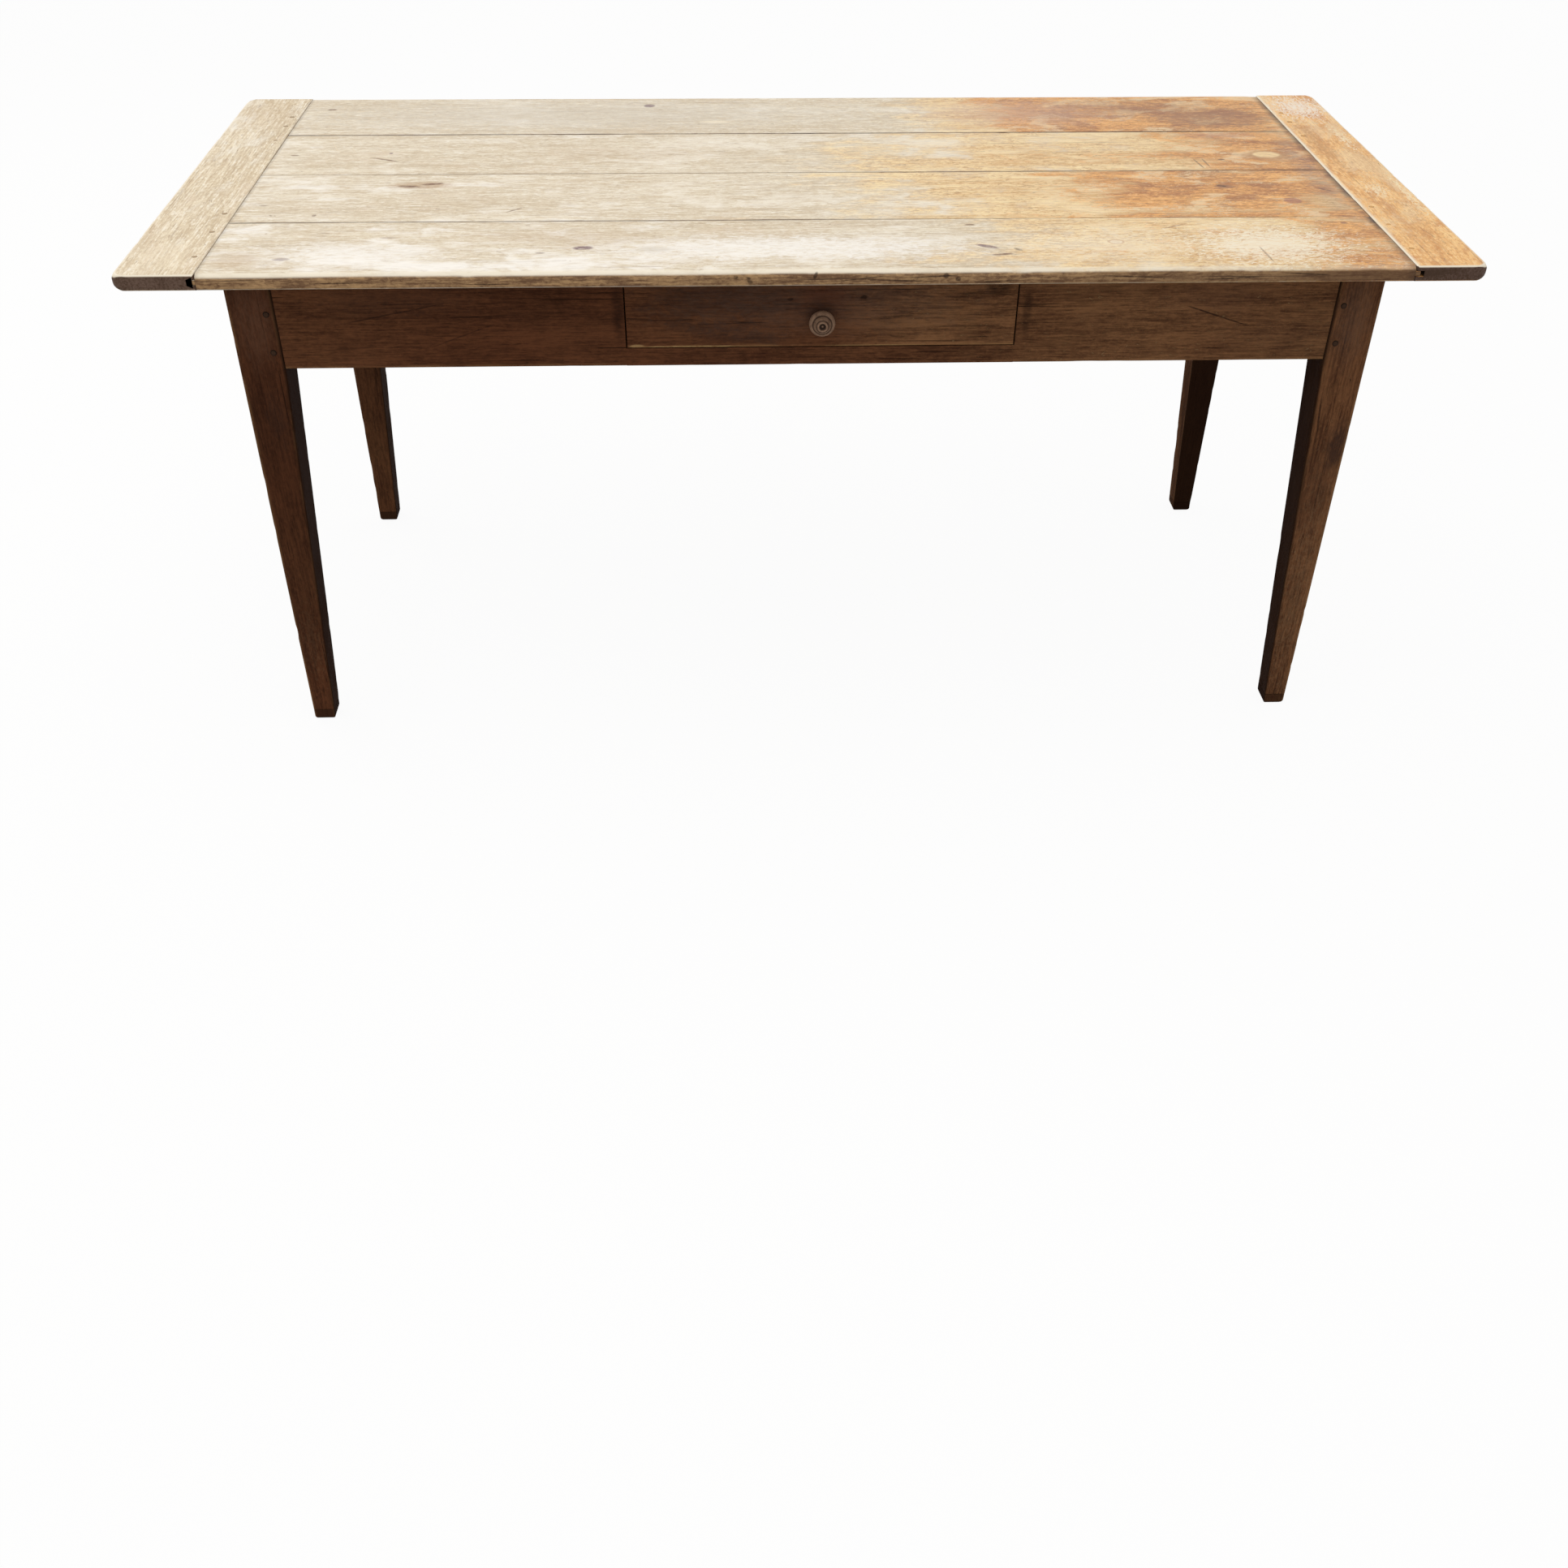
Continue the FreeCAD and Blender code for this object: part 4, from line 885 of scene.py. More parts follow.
class FrameFinish(Finish):
    """Dark stained wood, rubbed lighter on its arrises, with painted shade on the legs' inner faces."""

    def __init__(self, name: str, effects: Effects, colours: FrameColours, marks: tuple[Mark, ...]) -> None:
        """Build the finish.

        Args:
            name: name of the material.
            effects: shared shader groups.
            colours: colours of the wood.
            marks: stains on it.
        """
        super().__init__(name, effects)
        graph = self.graph
        worn, dirt, fade, end = self.wood_state()
        grain, use = self.wood_patterns(graph.attribute("grain").outputs["Vector"])

        broad = graph.total((grain["Streak"], 0.75), (use["Blotch"], 0.5), (use["Cloud"], 0.35))
        tone = graph.total((broad, 1.0), (grain["Fibre"], 0.8), (use["Fleck"], 0.7))
        pitted = graph.total((grain["Pore"], 0.40), (grain["Crack"], 0.75), (use["Dent"], 0.4))
        flecks = graph.times(graph.ramp(use["Fleck"], 0.60, 0.70), graph.ramp(fade, 0.35, 0.80, 0.0, 0.42))
        colour = graph.layers(
            graph.blend(fade, colours.red_brown, colours.brown),
            (graph.ramp(tone, 1.27, 1.87), colours.deep),
            (pitted, colours.pore),
            (graph.times(use["Scuff"], fade, 0.12), colours.rubbed),
            (flecks, colours.fleck),
        )
        rub = graph.times(worn, graph.ramp(use["Cloud"], 0.40, 0.60, 0.10, 0.75))
        colour = graph.layers(
            self.lay_marks(colour, marks),
            (rub, colours.rubbed),
            (graph.times(end, 0.5), colours.deep),
            # The dirt here is painted shade only: on the legs' inner faces and halfway up the left legs.
            (dirt, colours.grime_and_shade),
        )

        rough = graph.total((use["Scuff"], 0.08), (grain["Fibre"], 0.2), (use["Blotch"], 0.1))
        self.set_shader(colour, graph.math("ADD", rough, 0.45), 0.004)
        pits = graph.total((grain["Pore"], -0.8), (grain["Crack"], -0.9), (use["Scratch"], -0.3))
        self.relief(graph.total((grain["Fibre"], 0.6), (pits, 1.0)), 0.5 * MM, 0.5)


class BareFinish(Finish):
    """Bare aged wood of the hidden pieces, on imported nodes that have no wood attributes."""

    def __init__(self, name: str, effects: Effects, light: Colour, dark: Colour, turn: float) -> None:
        """Build the finish.

        Args:
            name: name of the material.
            effects: shared shader groups.
            light: colour of the clean wood.
            dark: colour of its late wood and dirt.
            turn: degrees from the table's length to the grain.
        """
        super().__init__(name, effects)
        graph = self.graph
        place = graph.add("ShaderNodeTexCoord").outputs["Object"]
        grain, use = self.wood_patterns(graph.turned(place, -turn))
        broad = graph.total((grain["Streak"], 0.5), (grain["Ring"], 0.06), (use["Blotch"], 0.3))
        tone = graph.total((broad, 1.0), (grain["Fibre"], 0.8))
        colour = graph.blend(graph.ramp(tone, 0.6, 1.1), light, dark)
        colour = graph.blend(graph.times(grain["Pore"], 0.4), colour, dark)
        self.set_shader(colour, graph.ramp(grain["Fibre"], 0.2, 0.8, 0.62, 0.82), 0.2)
        self.relief(graph.total((grain["Fibre"], 0.6), (grain["Pore"], -0.6)), 0.5 * MM, 0.4)


class TurnedFinish(Finish):
    """End-grain wood of the knob and the pegs, dull and dirty in its grooves, with a painted shadow line
    round the pegs' heads.
    """

    def __init__(self, name: str, effects: Effects, light: Colour, dark: Colour, groove: Colour) -> None:
        """Build the finish.

        Args:
            name: name of the material.
            effects: shared shader groups.
            light: colour where hands or cloths rub it.
            dark: colour of the rest.
            groove: colour of the dirt in grooves, and of the painted shadow round the pegs' heads.
        """
        super().__init__(name, effects)
        graph = self.graph
        place = graph.attribute("grain").outputs["Vector"]
        worn, dirt, _, _ = self.wood_state()
        mottle = graph.noise(place, (160.0, 160.0, 160.0), 4.0, 0.65, 0.5)
        fine = graph.noise(place, (900.0, 900.0, 900.0), 2.0, 0.6)
        tone = graph.total((mottle, 0.9), (fine, 0.4), (worn, 0.5))
        colour = graph.blend(graph.ramp(tone, 0.45, 1.0), dark, light)
        # Dirt in the grooves; round the pegs' heads it is a painted shadow line.
        colour = graph.blend(dirt, colour, groove)
        self.set_shader(colour, graph.ramp(mottle, 0.2, 0.8, 0.42, 0.62), 0.06)
        self.relief(graph.total((fine, 0.7), (mottle, 0.5)), 0.4 * MM, 0.3)


class IronFinish(Finish):
    """Dull iron of screws and nails with a little rust."""

    def __init__(self, name: str, effects: Effects) -> None:
        """Build the finish."""
        super().__init__(name, effects)
        graph = self.graph
        place = graph.add("ShaderNodeTexCoord").outputs["Object"]
        rust = graph.ramp(graph.noise(place, (400.0, 400.0, 400.0), 4.0, 0.6), 0.45, 0.62)
        colour = graph.blend(rust, (0.20, 0.19, 0.18), (0.16, 0.07, 0.035))
        self.set_shader(colour, graph.ramp(rust, 0.0, 1.0, 0.45, 0.8), 0.5)
        graph.feed(self.shader.inputs["Metallic"], graph.math("SUBTRACT", 0.9, graph.times(rust, 0.8)))


DARK_KNOT: Colour = (0.22, 0.13, 0.085)
TAN: Colour = (0.52, 0.36, 0.22)
VIOLET: Colour = (0.24, 0.16, 0.17)
GREY_BLOOM: Colour = (0.66, 0.60, 0.51)
SHEEN_HIGHLIGHT: Colour = (0.98, 0.95, 0.90)
CREAM: Colour = (0.96, 0.86, 0.68)
WARM_CREAM: Colour = (0.97, 0.80, 0.54)
RUSSET: Colour = (0.50, 0.23, 0.085)
UMBER: Colour = (0.30, 0.145, 0.090)
WINE: Colour = (0.36, 0.15, 0.12)
GOLD: Colour = (0.98, 0.76, 0.44)
BRICK: Colour = (0.42, 0.17, 0.12)
ROSE_TAN: Colour = (0.60, 0.38, 0.29)
SHELL: Colour = (0.96, 0.84, 0.72)
HOLE: Colour = (0.035, 0.018, 0.012)
SOOT_AND_SHADOW: Colour = (0.018, 0.009, 0.007)
SMOKE: Colour = (0.050, 0.027, 0.020)
RED_STAIN: Colour = (0.110, 0.028, 0.010)
DUST: Colour = (0.120, 0.080, 0.062)
RED_DUST: Colour = (0.150, 0.074, 0.045)
PALE_SPECK: Colour = (0.36, 0.25, 0.145)
BARE_ARRIS: Colour = (0.46, 0.31, 0.14)

# Each row is one mark as top_mark or front_mark takes it, and later rows lie over earlier ones.
PALE_END_MARKS = tuple(top_mark(*row) for row in (
    (-350, 300, 640, 125, GREY_BLOOM, 0.65, 2.4, 0.2),
    # Painted sheen: two bright patches of the window's reflection on the front plank.
    (-610, -332, 170, 56, SHEEN_HIGHLIGHT, 0.85, 1.8, 0.2),
    (-40, -318, 340, 62, SHEEN_HIGHLIGHT, 0.90, 2.0, 0.3),
    (-330, -270, 200, 40, TAN, 0.25, 2.0, 0.2),
    (-250, 95, 220, 60, TAN, 0.18, 2.0, 0.2),
    (-552, -51, 60, 20, TAN, 0.85, 0.9, 0.4),
    (-568, -56, 20, 6, DARK_KNOT, 0.9, 0.7, 0.5, -8),
    (-536, -45, 22, 5.5, DARK_KNOT, 0.9, 0.7, 0.5, 10),
    (-624, 70, 30, 3, DARK_KNOT, 0.9, 0.5, 0.6, -25),
    (-619, 101, 3.5, 4, VIOLET, 0.9, 0.3, 0.6),
    (-764, 93, 8, 3.5, DARK_KNOT, 0.8, 0.4, 0.5),
    (-683, -178, 4, 6, DARK_KNOT, 0.8, 0.4, 0.5),
    (-751, 334, 10, 5, DARK_KNOT, 0.8, 0.4, 0.5),
    (-694, -347, 14, 7, VIOLET, 0.6, 0.4, 0.5),
    (-566, -269, 14, 2.5, VIOLET, 0.6, 0.6, 0.5),
    (-762, -136, 8, 3, DARK_KNOT, 0.6, 0.6, 0.5),
    (-406, -160, 16, 2.2, DARK_KNOT, 0.85, 0.4, 0.6, 40),
    (-300, -312, 16, 9, VIOLET, 0.95, 0.4, 0.6),
    (-356, -330, 9, 3, DARK_KNOT, 0.8, 0.5, 0.5),
    (-230, 350, 11, 11, VIOLET, 0.85, 0.4, 0.6),
    (-753, -350, 45, 42, TAN, 0.40, 1.8, 0.1),
    (-205, -318, 34, 14, GREY_BLOOM, 0.55, 1.2, 0.35),
    (-120, 258, 34, 10, CREAM, 0.75, 1.2, 0.35),
))

HONEY_MARKS = tuple(top_mark(*row) for row in (
    (245, -316, 20, 6, VIOLET, 0.95, 0.5, 0.6, -28),
    (262, -346, 17, 4.5, DARK_KNOT, 0.9, 0.7, 0.6, 8),
    (285, -328, 8, 4, HOLE, 0.85, 0.5, 0.6, -40),
    (232, -232, 9, 5, DARK_KNOT, 0.8, 1.0, 0.5),
    (516, -243, 26, 2, UMBER, 0.8, 0.5, 0.6, 27),
    (617, 32, 27, 2, DARK_KNOT, 0.75, 0.5, 0.6, -82),
    (629, 36, 24, 2, DARK_KNOT, 0.75, 0.5, 0.6, -86),
    (657, 51, 7, 3, HOLE, 0.8, 0.4, 0.5),
    (630, -76, 20, 10, UMBER, 0.85, 0.8, 0.5),
    (626, -72, 10, 4, HOLE, 0.8, 0.6, 0.5, -30),
    (713, -139, 15, 14, WINE, 0.75, 0.3, 0.7),
    (775, -92, 16, 3, HOLE, 0.7, 1.0, 0.5, -35),
    (758, -234, 6, 5, UMBER, 0.8, 0.4, 0.5),
    (736, 68, 46, 36, RUSSET, 0.62, 0.5, 0.62),
    (733, 72, 32, 24, TAN, 0.45, 0.4, 0.7),
    (733, 74, 24, 16, GOLD, 0.90, 0.25, 0.75),
    (410, -310, 170, 74, CREAM, 0.55, 4.5, 0.2),
    (423, -302, 13, 11, RUSSET, 0.45, 0.3, 0.75),
    (423, -302, 10, 8, CREAM, 0.8, 0.3, 0.7),
    (628, -316, 112, 80, CREAM, 1.0, 4.5, 0.5),
    (616, -352, 34, 2, DARK_KNOT, 0.6, 0.4, 0.6, -86),
    (690, 262, 120, 62, UMBER, 0.72, 1.0, 0.5),
    (560, 320, 260, 70, UMBER, 0.50, 1.8, 0.2),
    (680, 172, 90, 20, BRICK, 0.55, 1.4, 0.3),
    (778, -20, 34, 300, VIOLET, 0.35, 1.2, 0.1),
    (225, 140, 90, 36, CREAM, 0.45, 1.8, 0.3),
    (380, 300, 220, 110, ROSE_TAN, 0.55, 2.0, 0.2),
))

EDGE_MARKS = tuple(
    front_mark(x, z, long, high, HOLE, 0.8, 0.7, 0.5, turn, EDGE_FACE)
    for x, z, long, high, turn in (
        (-96, 741, 4, 3, 0), (-78, 736, 4, 8, 30), (8, 742, 3, 6, -30), (70, 738, 40, 1.2, 6),
        (120, 735, 60, 1.4, -2), (160, 740, 50, 1.2, 3), (180, 741, 5, 4, 0), (196, 737, 5, 4, 0),
        (245, 733, 40, 1.3, 2), (430, 738, 60, 1.2, -2), (560, 735, 50, 1.4, 2), (660, 740, 40, 1.3, -3),
        (-420, 734, 40, 1.2, 0), (-610, 737, 46, 1.2, 1),
    )
)

END_MARKS = tuple(top_mark(*row) for row in (
    (-850, 310, 60, 120, TAN, 0.22, 1.5, 0.2),
    (-850, -330, 60, 90, CREAM, 0.40, 1.5, 0.2),
    (832, 120, 20, 190, RUSSET, 0.62, 3.0, 0.2),
    (880, 40, 26, 260, RUSSET, 0.25, 5.0, 0.3),
    (850, -250, 40, 130, RUSSET, 0.28, 5.0, 0.3),
    (866, 320, 22, 34, WARM_CREAM, 0.90, 7.0, 0.3),
    (856, 325, 46, 74, SHELL, 0.95, 5.0, 0.4),
    (890, -110, 7, 90, WARM_CREAM, 0.95, 7.0, 0.3),
    (850, -95, 14, 36, WARM_CREAM, 0.90, 7.0, 0.2),
    (880, 160, 10, 70, WARM_CREAM, 0.90, 7.0, 0.2),
))

FRAME_MARKS = tuple(front_mark(*row) for row in (
    (-130, 690, 130, 46, SMOKE, 0.52, 1.8, 0.3),
    (-110, 640, 120, 16, SMOKE, 0.60, 1.4, 0.3, -8),
    (21, 690, 44, 34, RED_STAIN, 0.65, 1.2, 0.2),
    (19, 668, 30, 30, SOOT_AND_SHADOW, 0.55, 0.8, 0.3),
    (262, 706, 22, 18, SOOT_AND_SHADOW, 0.75, 0.9, 0.4),
    (303, 668, 9, 44, SOOT_AND_SHADOW, 0.55, 0.6, 0.3),
    # Painted shadow on the rail along the drawer's left end.
    (-256, 672, 12, 62, SOOT_AND_SHADOW, 0.60, 0.4, 0.2),
    (660, 630, 130, 36, SMOKE, 0.20, 2.2, 0.2),
    (560, 690, 120, 40, RED_DUST, 0.25, 1.6, 0.2),
    (20, 680, 270, 60, DUST, 0.32, 1.6, 0.2),
    (-748, 670, 40, 100, RED_DUST, 0.55, 1.2, 0.2),
    (760, 660, 36, 100, DUST, 0.30, 1.2, 0.2),
    (772, 210, 26, 180, PALE_SPECK, 0.12, 9.0, 0.1),
    (-758, 150, 20, 60, PALE_SPECK, 0.08, 8.0, 0.1),
    (-560, 690, 150, 30, SMOKE, 0.35, 2.2, 0.2),
    (568, 660, 60, 1.4, SOOT_AND_SHADOW, 0.8, 0.4, 0.6, -18),
    (-560, 672, 90, 1.3, SOOT_AND_SHADOW, 0.6, 0.5, 0.6, 11),
    (-470, 640, 60, 1.2, SOOT_AND_SHADOW, 0.5, 0.5, 0.6, 20),
    (780, 462, 22, 50, SMOKE, 0.80, 1.4, 0.3),
    (764, 400, 34, 120, SMOKE, 0.22, 1.6, 0.2),
    (742, 510, 2, 34, SOOT_AND_SHADOW, 0.70, 0.6, 0.5, 6),
    (-742, 520, 20, 60, SMOKE, 0.45, 1.6, 0.2),
    (-22, 688, 5, 3, SOOT_AND_SHADOW, 0.8, 0.5, 0.5),
    (78, 690, 6, 4, SOOT_AND_SHADOW, 0.8, 0.5, 0.5),
    (120, 662, 40, 3, SOOT_AND_SHADOW, 0.6, 1.2, 0.4, 4),
    (-150, 622, 100, 1.8, BARE_ARRIS, 0.75, 0.8, 0.5),
    (-233, 623, 12, 3, BARE_ARRIS, 0.85, 0.6, 0.5),
    (90, 622, 90, 1.4, BARE_ARRIS, 0.45, 1.0, 0.4),
))


@dataclass
class TableTop:
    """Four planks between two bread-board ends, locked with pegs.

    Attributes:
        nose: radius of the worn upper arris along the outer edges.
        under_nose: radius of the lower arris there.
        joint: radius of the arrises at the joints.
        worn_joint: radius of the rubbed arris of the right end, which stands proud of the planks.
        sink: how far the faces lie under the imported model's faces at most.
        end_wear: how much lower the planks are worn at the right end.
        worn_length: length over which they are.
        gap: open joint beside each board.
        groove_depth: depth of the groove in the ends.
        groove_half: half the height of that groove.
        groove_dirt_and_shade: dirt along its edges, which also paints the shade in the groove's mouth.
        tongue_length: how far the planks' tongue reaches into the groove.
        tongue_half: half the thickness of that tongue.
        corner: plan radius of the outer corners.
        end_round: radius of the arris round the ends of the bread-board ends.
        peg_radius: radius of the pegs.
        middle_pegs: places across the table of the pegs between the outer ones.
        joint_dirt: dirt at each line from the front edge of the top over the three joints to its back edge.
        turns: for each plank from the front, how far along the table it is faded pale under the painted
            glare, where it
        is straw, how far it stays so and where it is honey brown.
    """

    nose: float = 8 * MM
    under_nose: float = 4 * MM
    joint: float = 0.6 * MM
    worn_joint: float = 2.2 * MM
    sink: float = 0.9 * MM
    end_wear: float = 0.9 * MM
    worn_length: float = 30 * MM
    gap: float = 0.22 * MM
    groove_depth: float = 14 * MM
    groove_half: float = 4 * MM
    groove_dirt_and_shade: float = 0.8
    tongue_length: float = 7 * MM
    tongue_half: float = 3.2 * MM
    corner: float = 18 * MM
    end_round: float = 3.5 * MM
    peg_radius: float = 4.5 * MM
    middle_pegs: tuple[float, ...] = (-241 * MM, -168 * MM, 169 * MM, 244 * MM)
    joint_dirt: tuple[float, ...] = (0.0, 0.80, 0.90, 1.0, 0.0)
    turns: tuple[tuple[float, float, float, float], ...] = (
        (-0.25, 0.55, 0.60, 0.76),
        (-0.35, 0.34, 0.28, 0.58),
        (-0.35, 0.36, 0.40, 0.76),
        (-0.05, 0.38, 0.18, 0.46),
    )

    def build(self, plank_finish: Material, end_finish: Material,
              peg_finishes: tuple[Material, Material]) -> None:
        """Build and dress the whole top.

        Args:
            plank_finish: material of the planks.
            end_finish: material of the bread-board ends.
            peg_finishes: materials of the pegs on the left and on the right.
        """
        left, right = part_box("breadboard_left"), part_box("breadboard_right")
        self.low, self.high = left[0][2], left[1][2]
        self.front, self.back = left[0][1], left[1][1]
        self.shoulders = (left[1][0], right[0][0])
        names = ["top_plank_front", "top_plank_mid_front", "top_plank_mid_back", "top_plank_back"]
        edges = [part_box(name)[0][1] for name in names] + [self.back]
        for number, name in enumerate(names):
            item = self.plank(name, edges[number], edges[number + 1], number)
            finish_piece(item, Body.TABLE, [name], plank_finish)
        for name, outer, shoulder, fade, peg_finish in (
            ("left", left[0][0], self.shoulders[0], 1.0, peg_finishes[0]),
            ("right", right[1][0], self.shoulders[1], -0.10, peg_finishes[1]),
        ):
            item = self.bread_end(name, outer, shoulder, fade)
            finish_piece(item, Body.TABLE, [f"breadboard_{name}"], end_finish)
            item = self.pegs(name)
            finish_piece(item, Body.TABLE, [f"breadboard_pegs_{name}"], peg_finish)

    def plank(self, name: str, front: float, back: float, number: int) -> Item:
        """One plank with the tongues at its ends.

        Args:
            name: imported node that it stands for.
            front: its front edge.
            back: its back edge.
            number: 0 for the front plank, rising to the back.

        Returns:
            The plank's object.
        """
        outer_front, outer_back = number == 0, number == 3
        section = rounded_section(
            [
                Corner(front + self.gap, self.low, self.under_nose if outer_front else self.joint),
                Corner(back - self.gap, self.low, self.under_nose if outer_back else self.joint),
                self._top_corner(back - self.gap, number + 1, rubbed=0.45),
                self._top_corner(front + self.gap, number, rubbed=0.0),
            ],
            step=16 * MM,
        )
        seed = 1.0 + number
        middle = (front + back) / 2
        height = (self.low + self.high) / 2

        def shape(along: float, point: SectionPoint) -> Pair:
            """Wave the upper face, wear it down at the right end and nick the outer arrises."""
            place = Vector((along, point.across, point.up))
            across, up = point.across, point.up
            if up > height:
                up -= self.sink * (0.45 + 0.35 * ripple(place, 5.0, seed))
                up -= self.end_wear * ease(along, self.shoulders[1] - self.worn_length, self.shoulders[1])
            gone = self._arris_wear(along, seed) * point.wear
            across += math.copysign(gone, middle - across)
            up += math.copysign(0.7 * gone, height - up)
            return across, up

        def fade(place: Vector) -> float:
            """Faded pale under a painted window glare on the left, with a painted sheen brightest on the
            front plank and darker towards the back one, honey brown on the right.
            """
            sheen = 0.14 if outer_front else 0.05 - 0.03 * number
            pale_to, straw_from, straw_to, honey_from = self.turns[number]
            straw = 0.35 * ease(place.x, honey_from, straw_to)
            return 0.65 * ease(place.x, straw_from, pale_to) + straw + sheen * ease(place.x, 0.50, -0.20)

        def soil_and_shade(place: Vector) -> float:
            """Dark along both shoulders, where crumbs and water collect, and wider so on the right, where it
            also paints the shadow beside the right end, which stands proud.
            """
            uneven = 0.6 + 0.5 * ripple(place, 12.0, seed)
            right = (uneven + 0.15) * ease(place.x, self.shoulders[1] - 14 * MM, self.shoulders[1])
            return max(right, 0.5 * ease(place.x, self.shoulders[0] + 2 * MM, self.shoulders[0]))

        def kept_dirt(place: Vector) -> float:
            """The front joint closes towards the right, the middle one towards the left."""
            line = number + (1 if place.y > middle else 0)
            if line == 1:
                return 1.0 - 0.75 * ease(place.x, 0.0, 0.45)
            if line == 2:
                return 0.30 + 0.70 * ease(place.x, -0.10, 0.40)
            return 1.0

        first, last = self.shoulders[0] + self.gap, self.shoulders[1] - 3 * self.gap
        parts = MeshParts()
        stations = evenly(first, last, 6 * MM)
        Board(Run.X, stations, section, seed, shape, fade, soil_and_shade, kept_dirt, self.joint).add_to(parts)
        sides = (front + 2 * self.gap, back - 2 * self.gap)
        faces = (height - self.tongue_half, height + self.tongue_half)
        corners = rectangle(sides, faces, 4 * (self.joint,), dirt=(0.2, 0.0, 0.0, 0.2))
        tongue = rounded_section(corners, step=60 * MM)
        for start, end in ((first - self.tongue_length, first), (last, last + self.tongue_length)):
            Board(Run.X, evenly(start, end, 4 * MM), tongue, seed, fade=fade).add_to(parts)
        return parts.to_object(f"{name}_worn")

    def _top_corner(self, across: float, line: int, rubbed: float) -> Corner:
        """Upper arris of a plank.

        Args:
            across: where the arris is.
            line: edge or joint it lies at, counted from the front edge of the top to its back edge.
            rubbed: how far hands and cloths have rubbed it clean, if it lies at a joint.

        Returns:
            The rounded and worn corner.
        """
        dirt = self.joint_dirt[line]
        if dirt:
            return Corner(across, self.high, self.joint, wear=rubbed, dirt=dirt * (1.0 - rubbed))
        # The outer nose is worn, and its wear also paints a highlight along it.
        return Corner(across, self.high, self.nose, wear=1.0)

    @staticmethod
    def _arris_wear(along: float, seed: float) -> float:
        """Depth of the wear and the nicks in an exposed arris at a place along it."""
        place = Vector((along, 0.3, 0.7))
        return wave(place, 7.0, seed, 1 * MM) + nick(place, 55.0, seed + 3.0, 0.30, 2.2 * MM)

    def bread_end(self, name: str, outer: float, shoulder: float, fade: float) -> Item:
        """Bread-board end with its groove open at both ends and rounded outer corners.

        Args:
            name: left or right.
            outer: its outer edge along the table.
            shoulder: its edge against the planks.
            fade: how faded pale it is under the painted glare.

        Returns:
            The end's object.
        """
        inward = math.copysign(1.0, shoulder - outer)
        height = (self.low + self.high) / 2
        floor = shoulder - inward * self.groove_depth
        inner_arris = Corner(shoulder, self.high, self.joint, dirt=0.6 * self.groove_dirt_and_shade)
        # The right end's inner arris is worn pale, which also paints the highlight along it where it stands
        # proud.
        if name == "right":
            inner_arris = Corner(shoulder, self.high, self.worn_joint, wear=1.0)
        # The groove's corners take dirt, which also paints the shade inside the groove.
        section = rounded_section(
            [
                Corner(outer, self.low, 2 * self.under_nose),
                Corner(shoulder, self.low, self.joint),
                Corner(shoulder, height - self.groove_half, dirt=self.groove_dirt_and_shade),
                Corner(floor, height - self.groove_half, dirt=1.0),
                Corner(floor, height + self.groove_half, dirt=1.0),
                Corner(shoulder, height + self.groove_half, dirt=self.groove_dirt_and_shade),
                inner_arris,
                Corner(outer, self.high, self.nose, wear=0.9),
            ],
            step=12 * MM,
        )
        seed = 7.0 if inward > 0 else 9.0

        def shape(along: float, point: SectionPoint) -> Pair:
            """Round the plan corners and wave the faces."""
            place = Vector((point.across, along, point.up))
            depth = min(along - self.front, self.back - along)
            drawn = 0.0
            if depth < self.corner:
                drawn = self.corner - math.sqrt(max(0.0, self.corner**2 - (self.corner - depth) ** 2))
            share = min(1.0, abs(point.across - shoulder) / (abs(outer - shoulder) - self.corner))
            across = point.across + inward * drawn * share
            up = point.up
            if up > height + self.groove_half + self.joint:
                up -= self.sink * (0.35 + 0.3 * ripple(place, 6.0, seed))
            gone = self._arris_wear(along, seed) * point.wear
            across += inward * gone * share
            up += math.copysign(0.6 * gone, height - up)
            return across, up

        stations = evenly(self.front, self.back, 6 * MM)
        for step in (0.5, 1, 2, 3, 4.5, 8, 10):
            stations += [self.front + step * MM, self.back - step * MM]
        board = Board(Run.Y, sorted(stations), section, seed, shape, even(fade))
        board.end_round = self.end_round
        board.end_reach = self.corner
        return board.alone(f"breadboard_{name}_worn")

    def pegs(self, name: str) -> Item:
        """Hand-cut pegs of one bread-board end, their heads just proud of the wood.

        Args:
            name: left or right.

        Returns:
            One object with all the pegs of that end.
        """
        low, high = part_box(f"breadboard_pegs_{name}")
        across = (low[0] + high[0]) / 2
        along = (low[1] + self.peg_radius, *self.middle_pegs, high[1] - self.peg_radius)
        parts = MeshParts()
        for number, place in enumerate(along):
            peg = Peg(self.peg_radius, seed=number + (20.0 if name == "left" else 40.0))
            head = Vector((across, place, self.high - 0.1 * MM))
            peg.add_to(parts, Vector((across, place, self.low)), head)
        return parts.to_object(f"breadboard_pegs_{name}_cut")


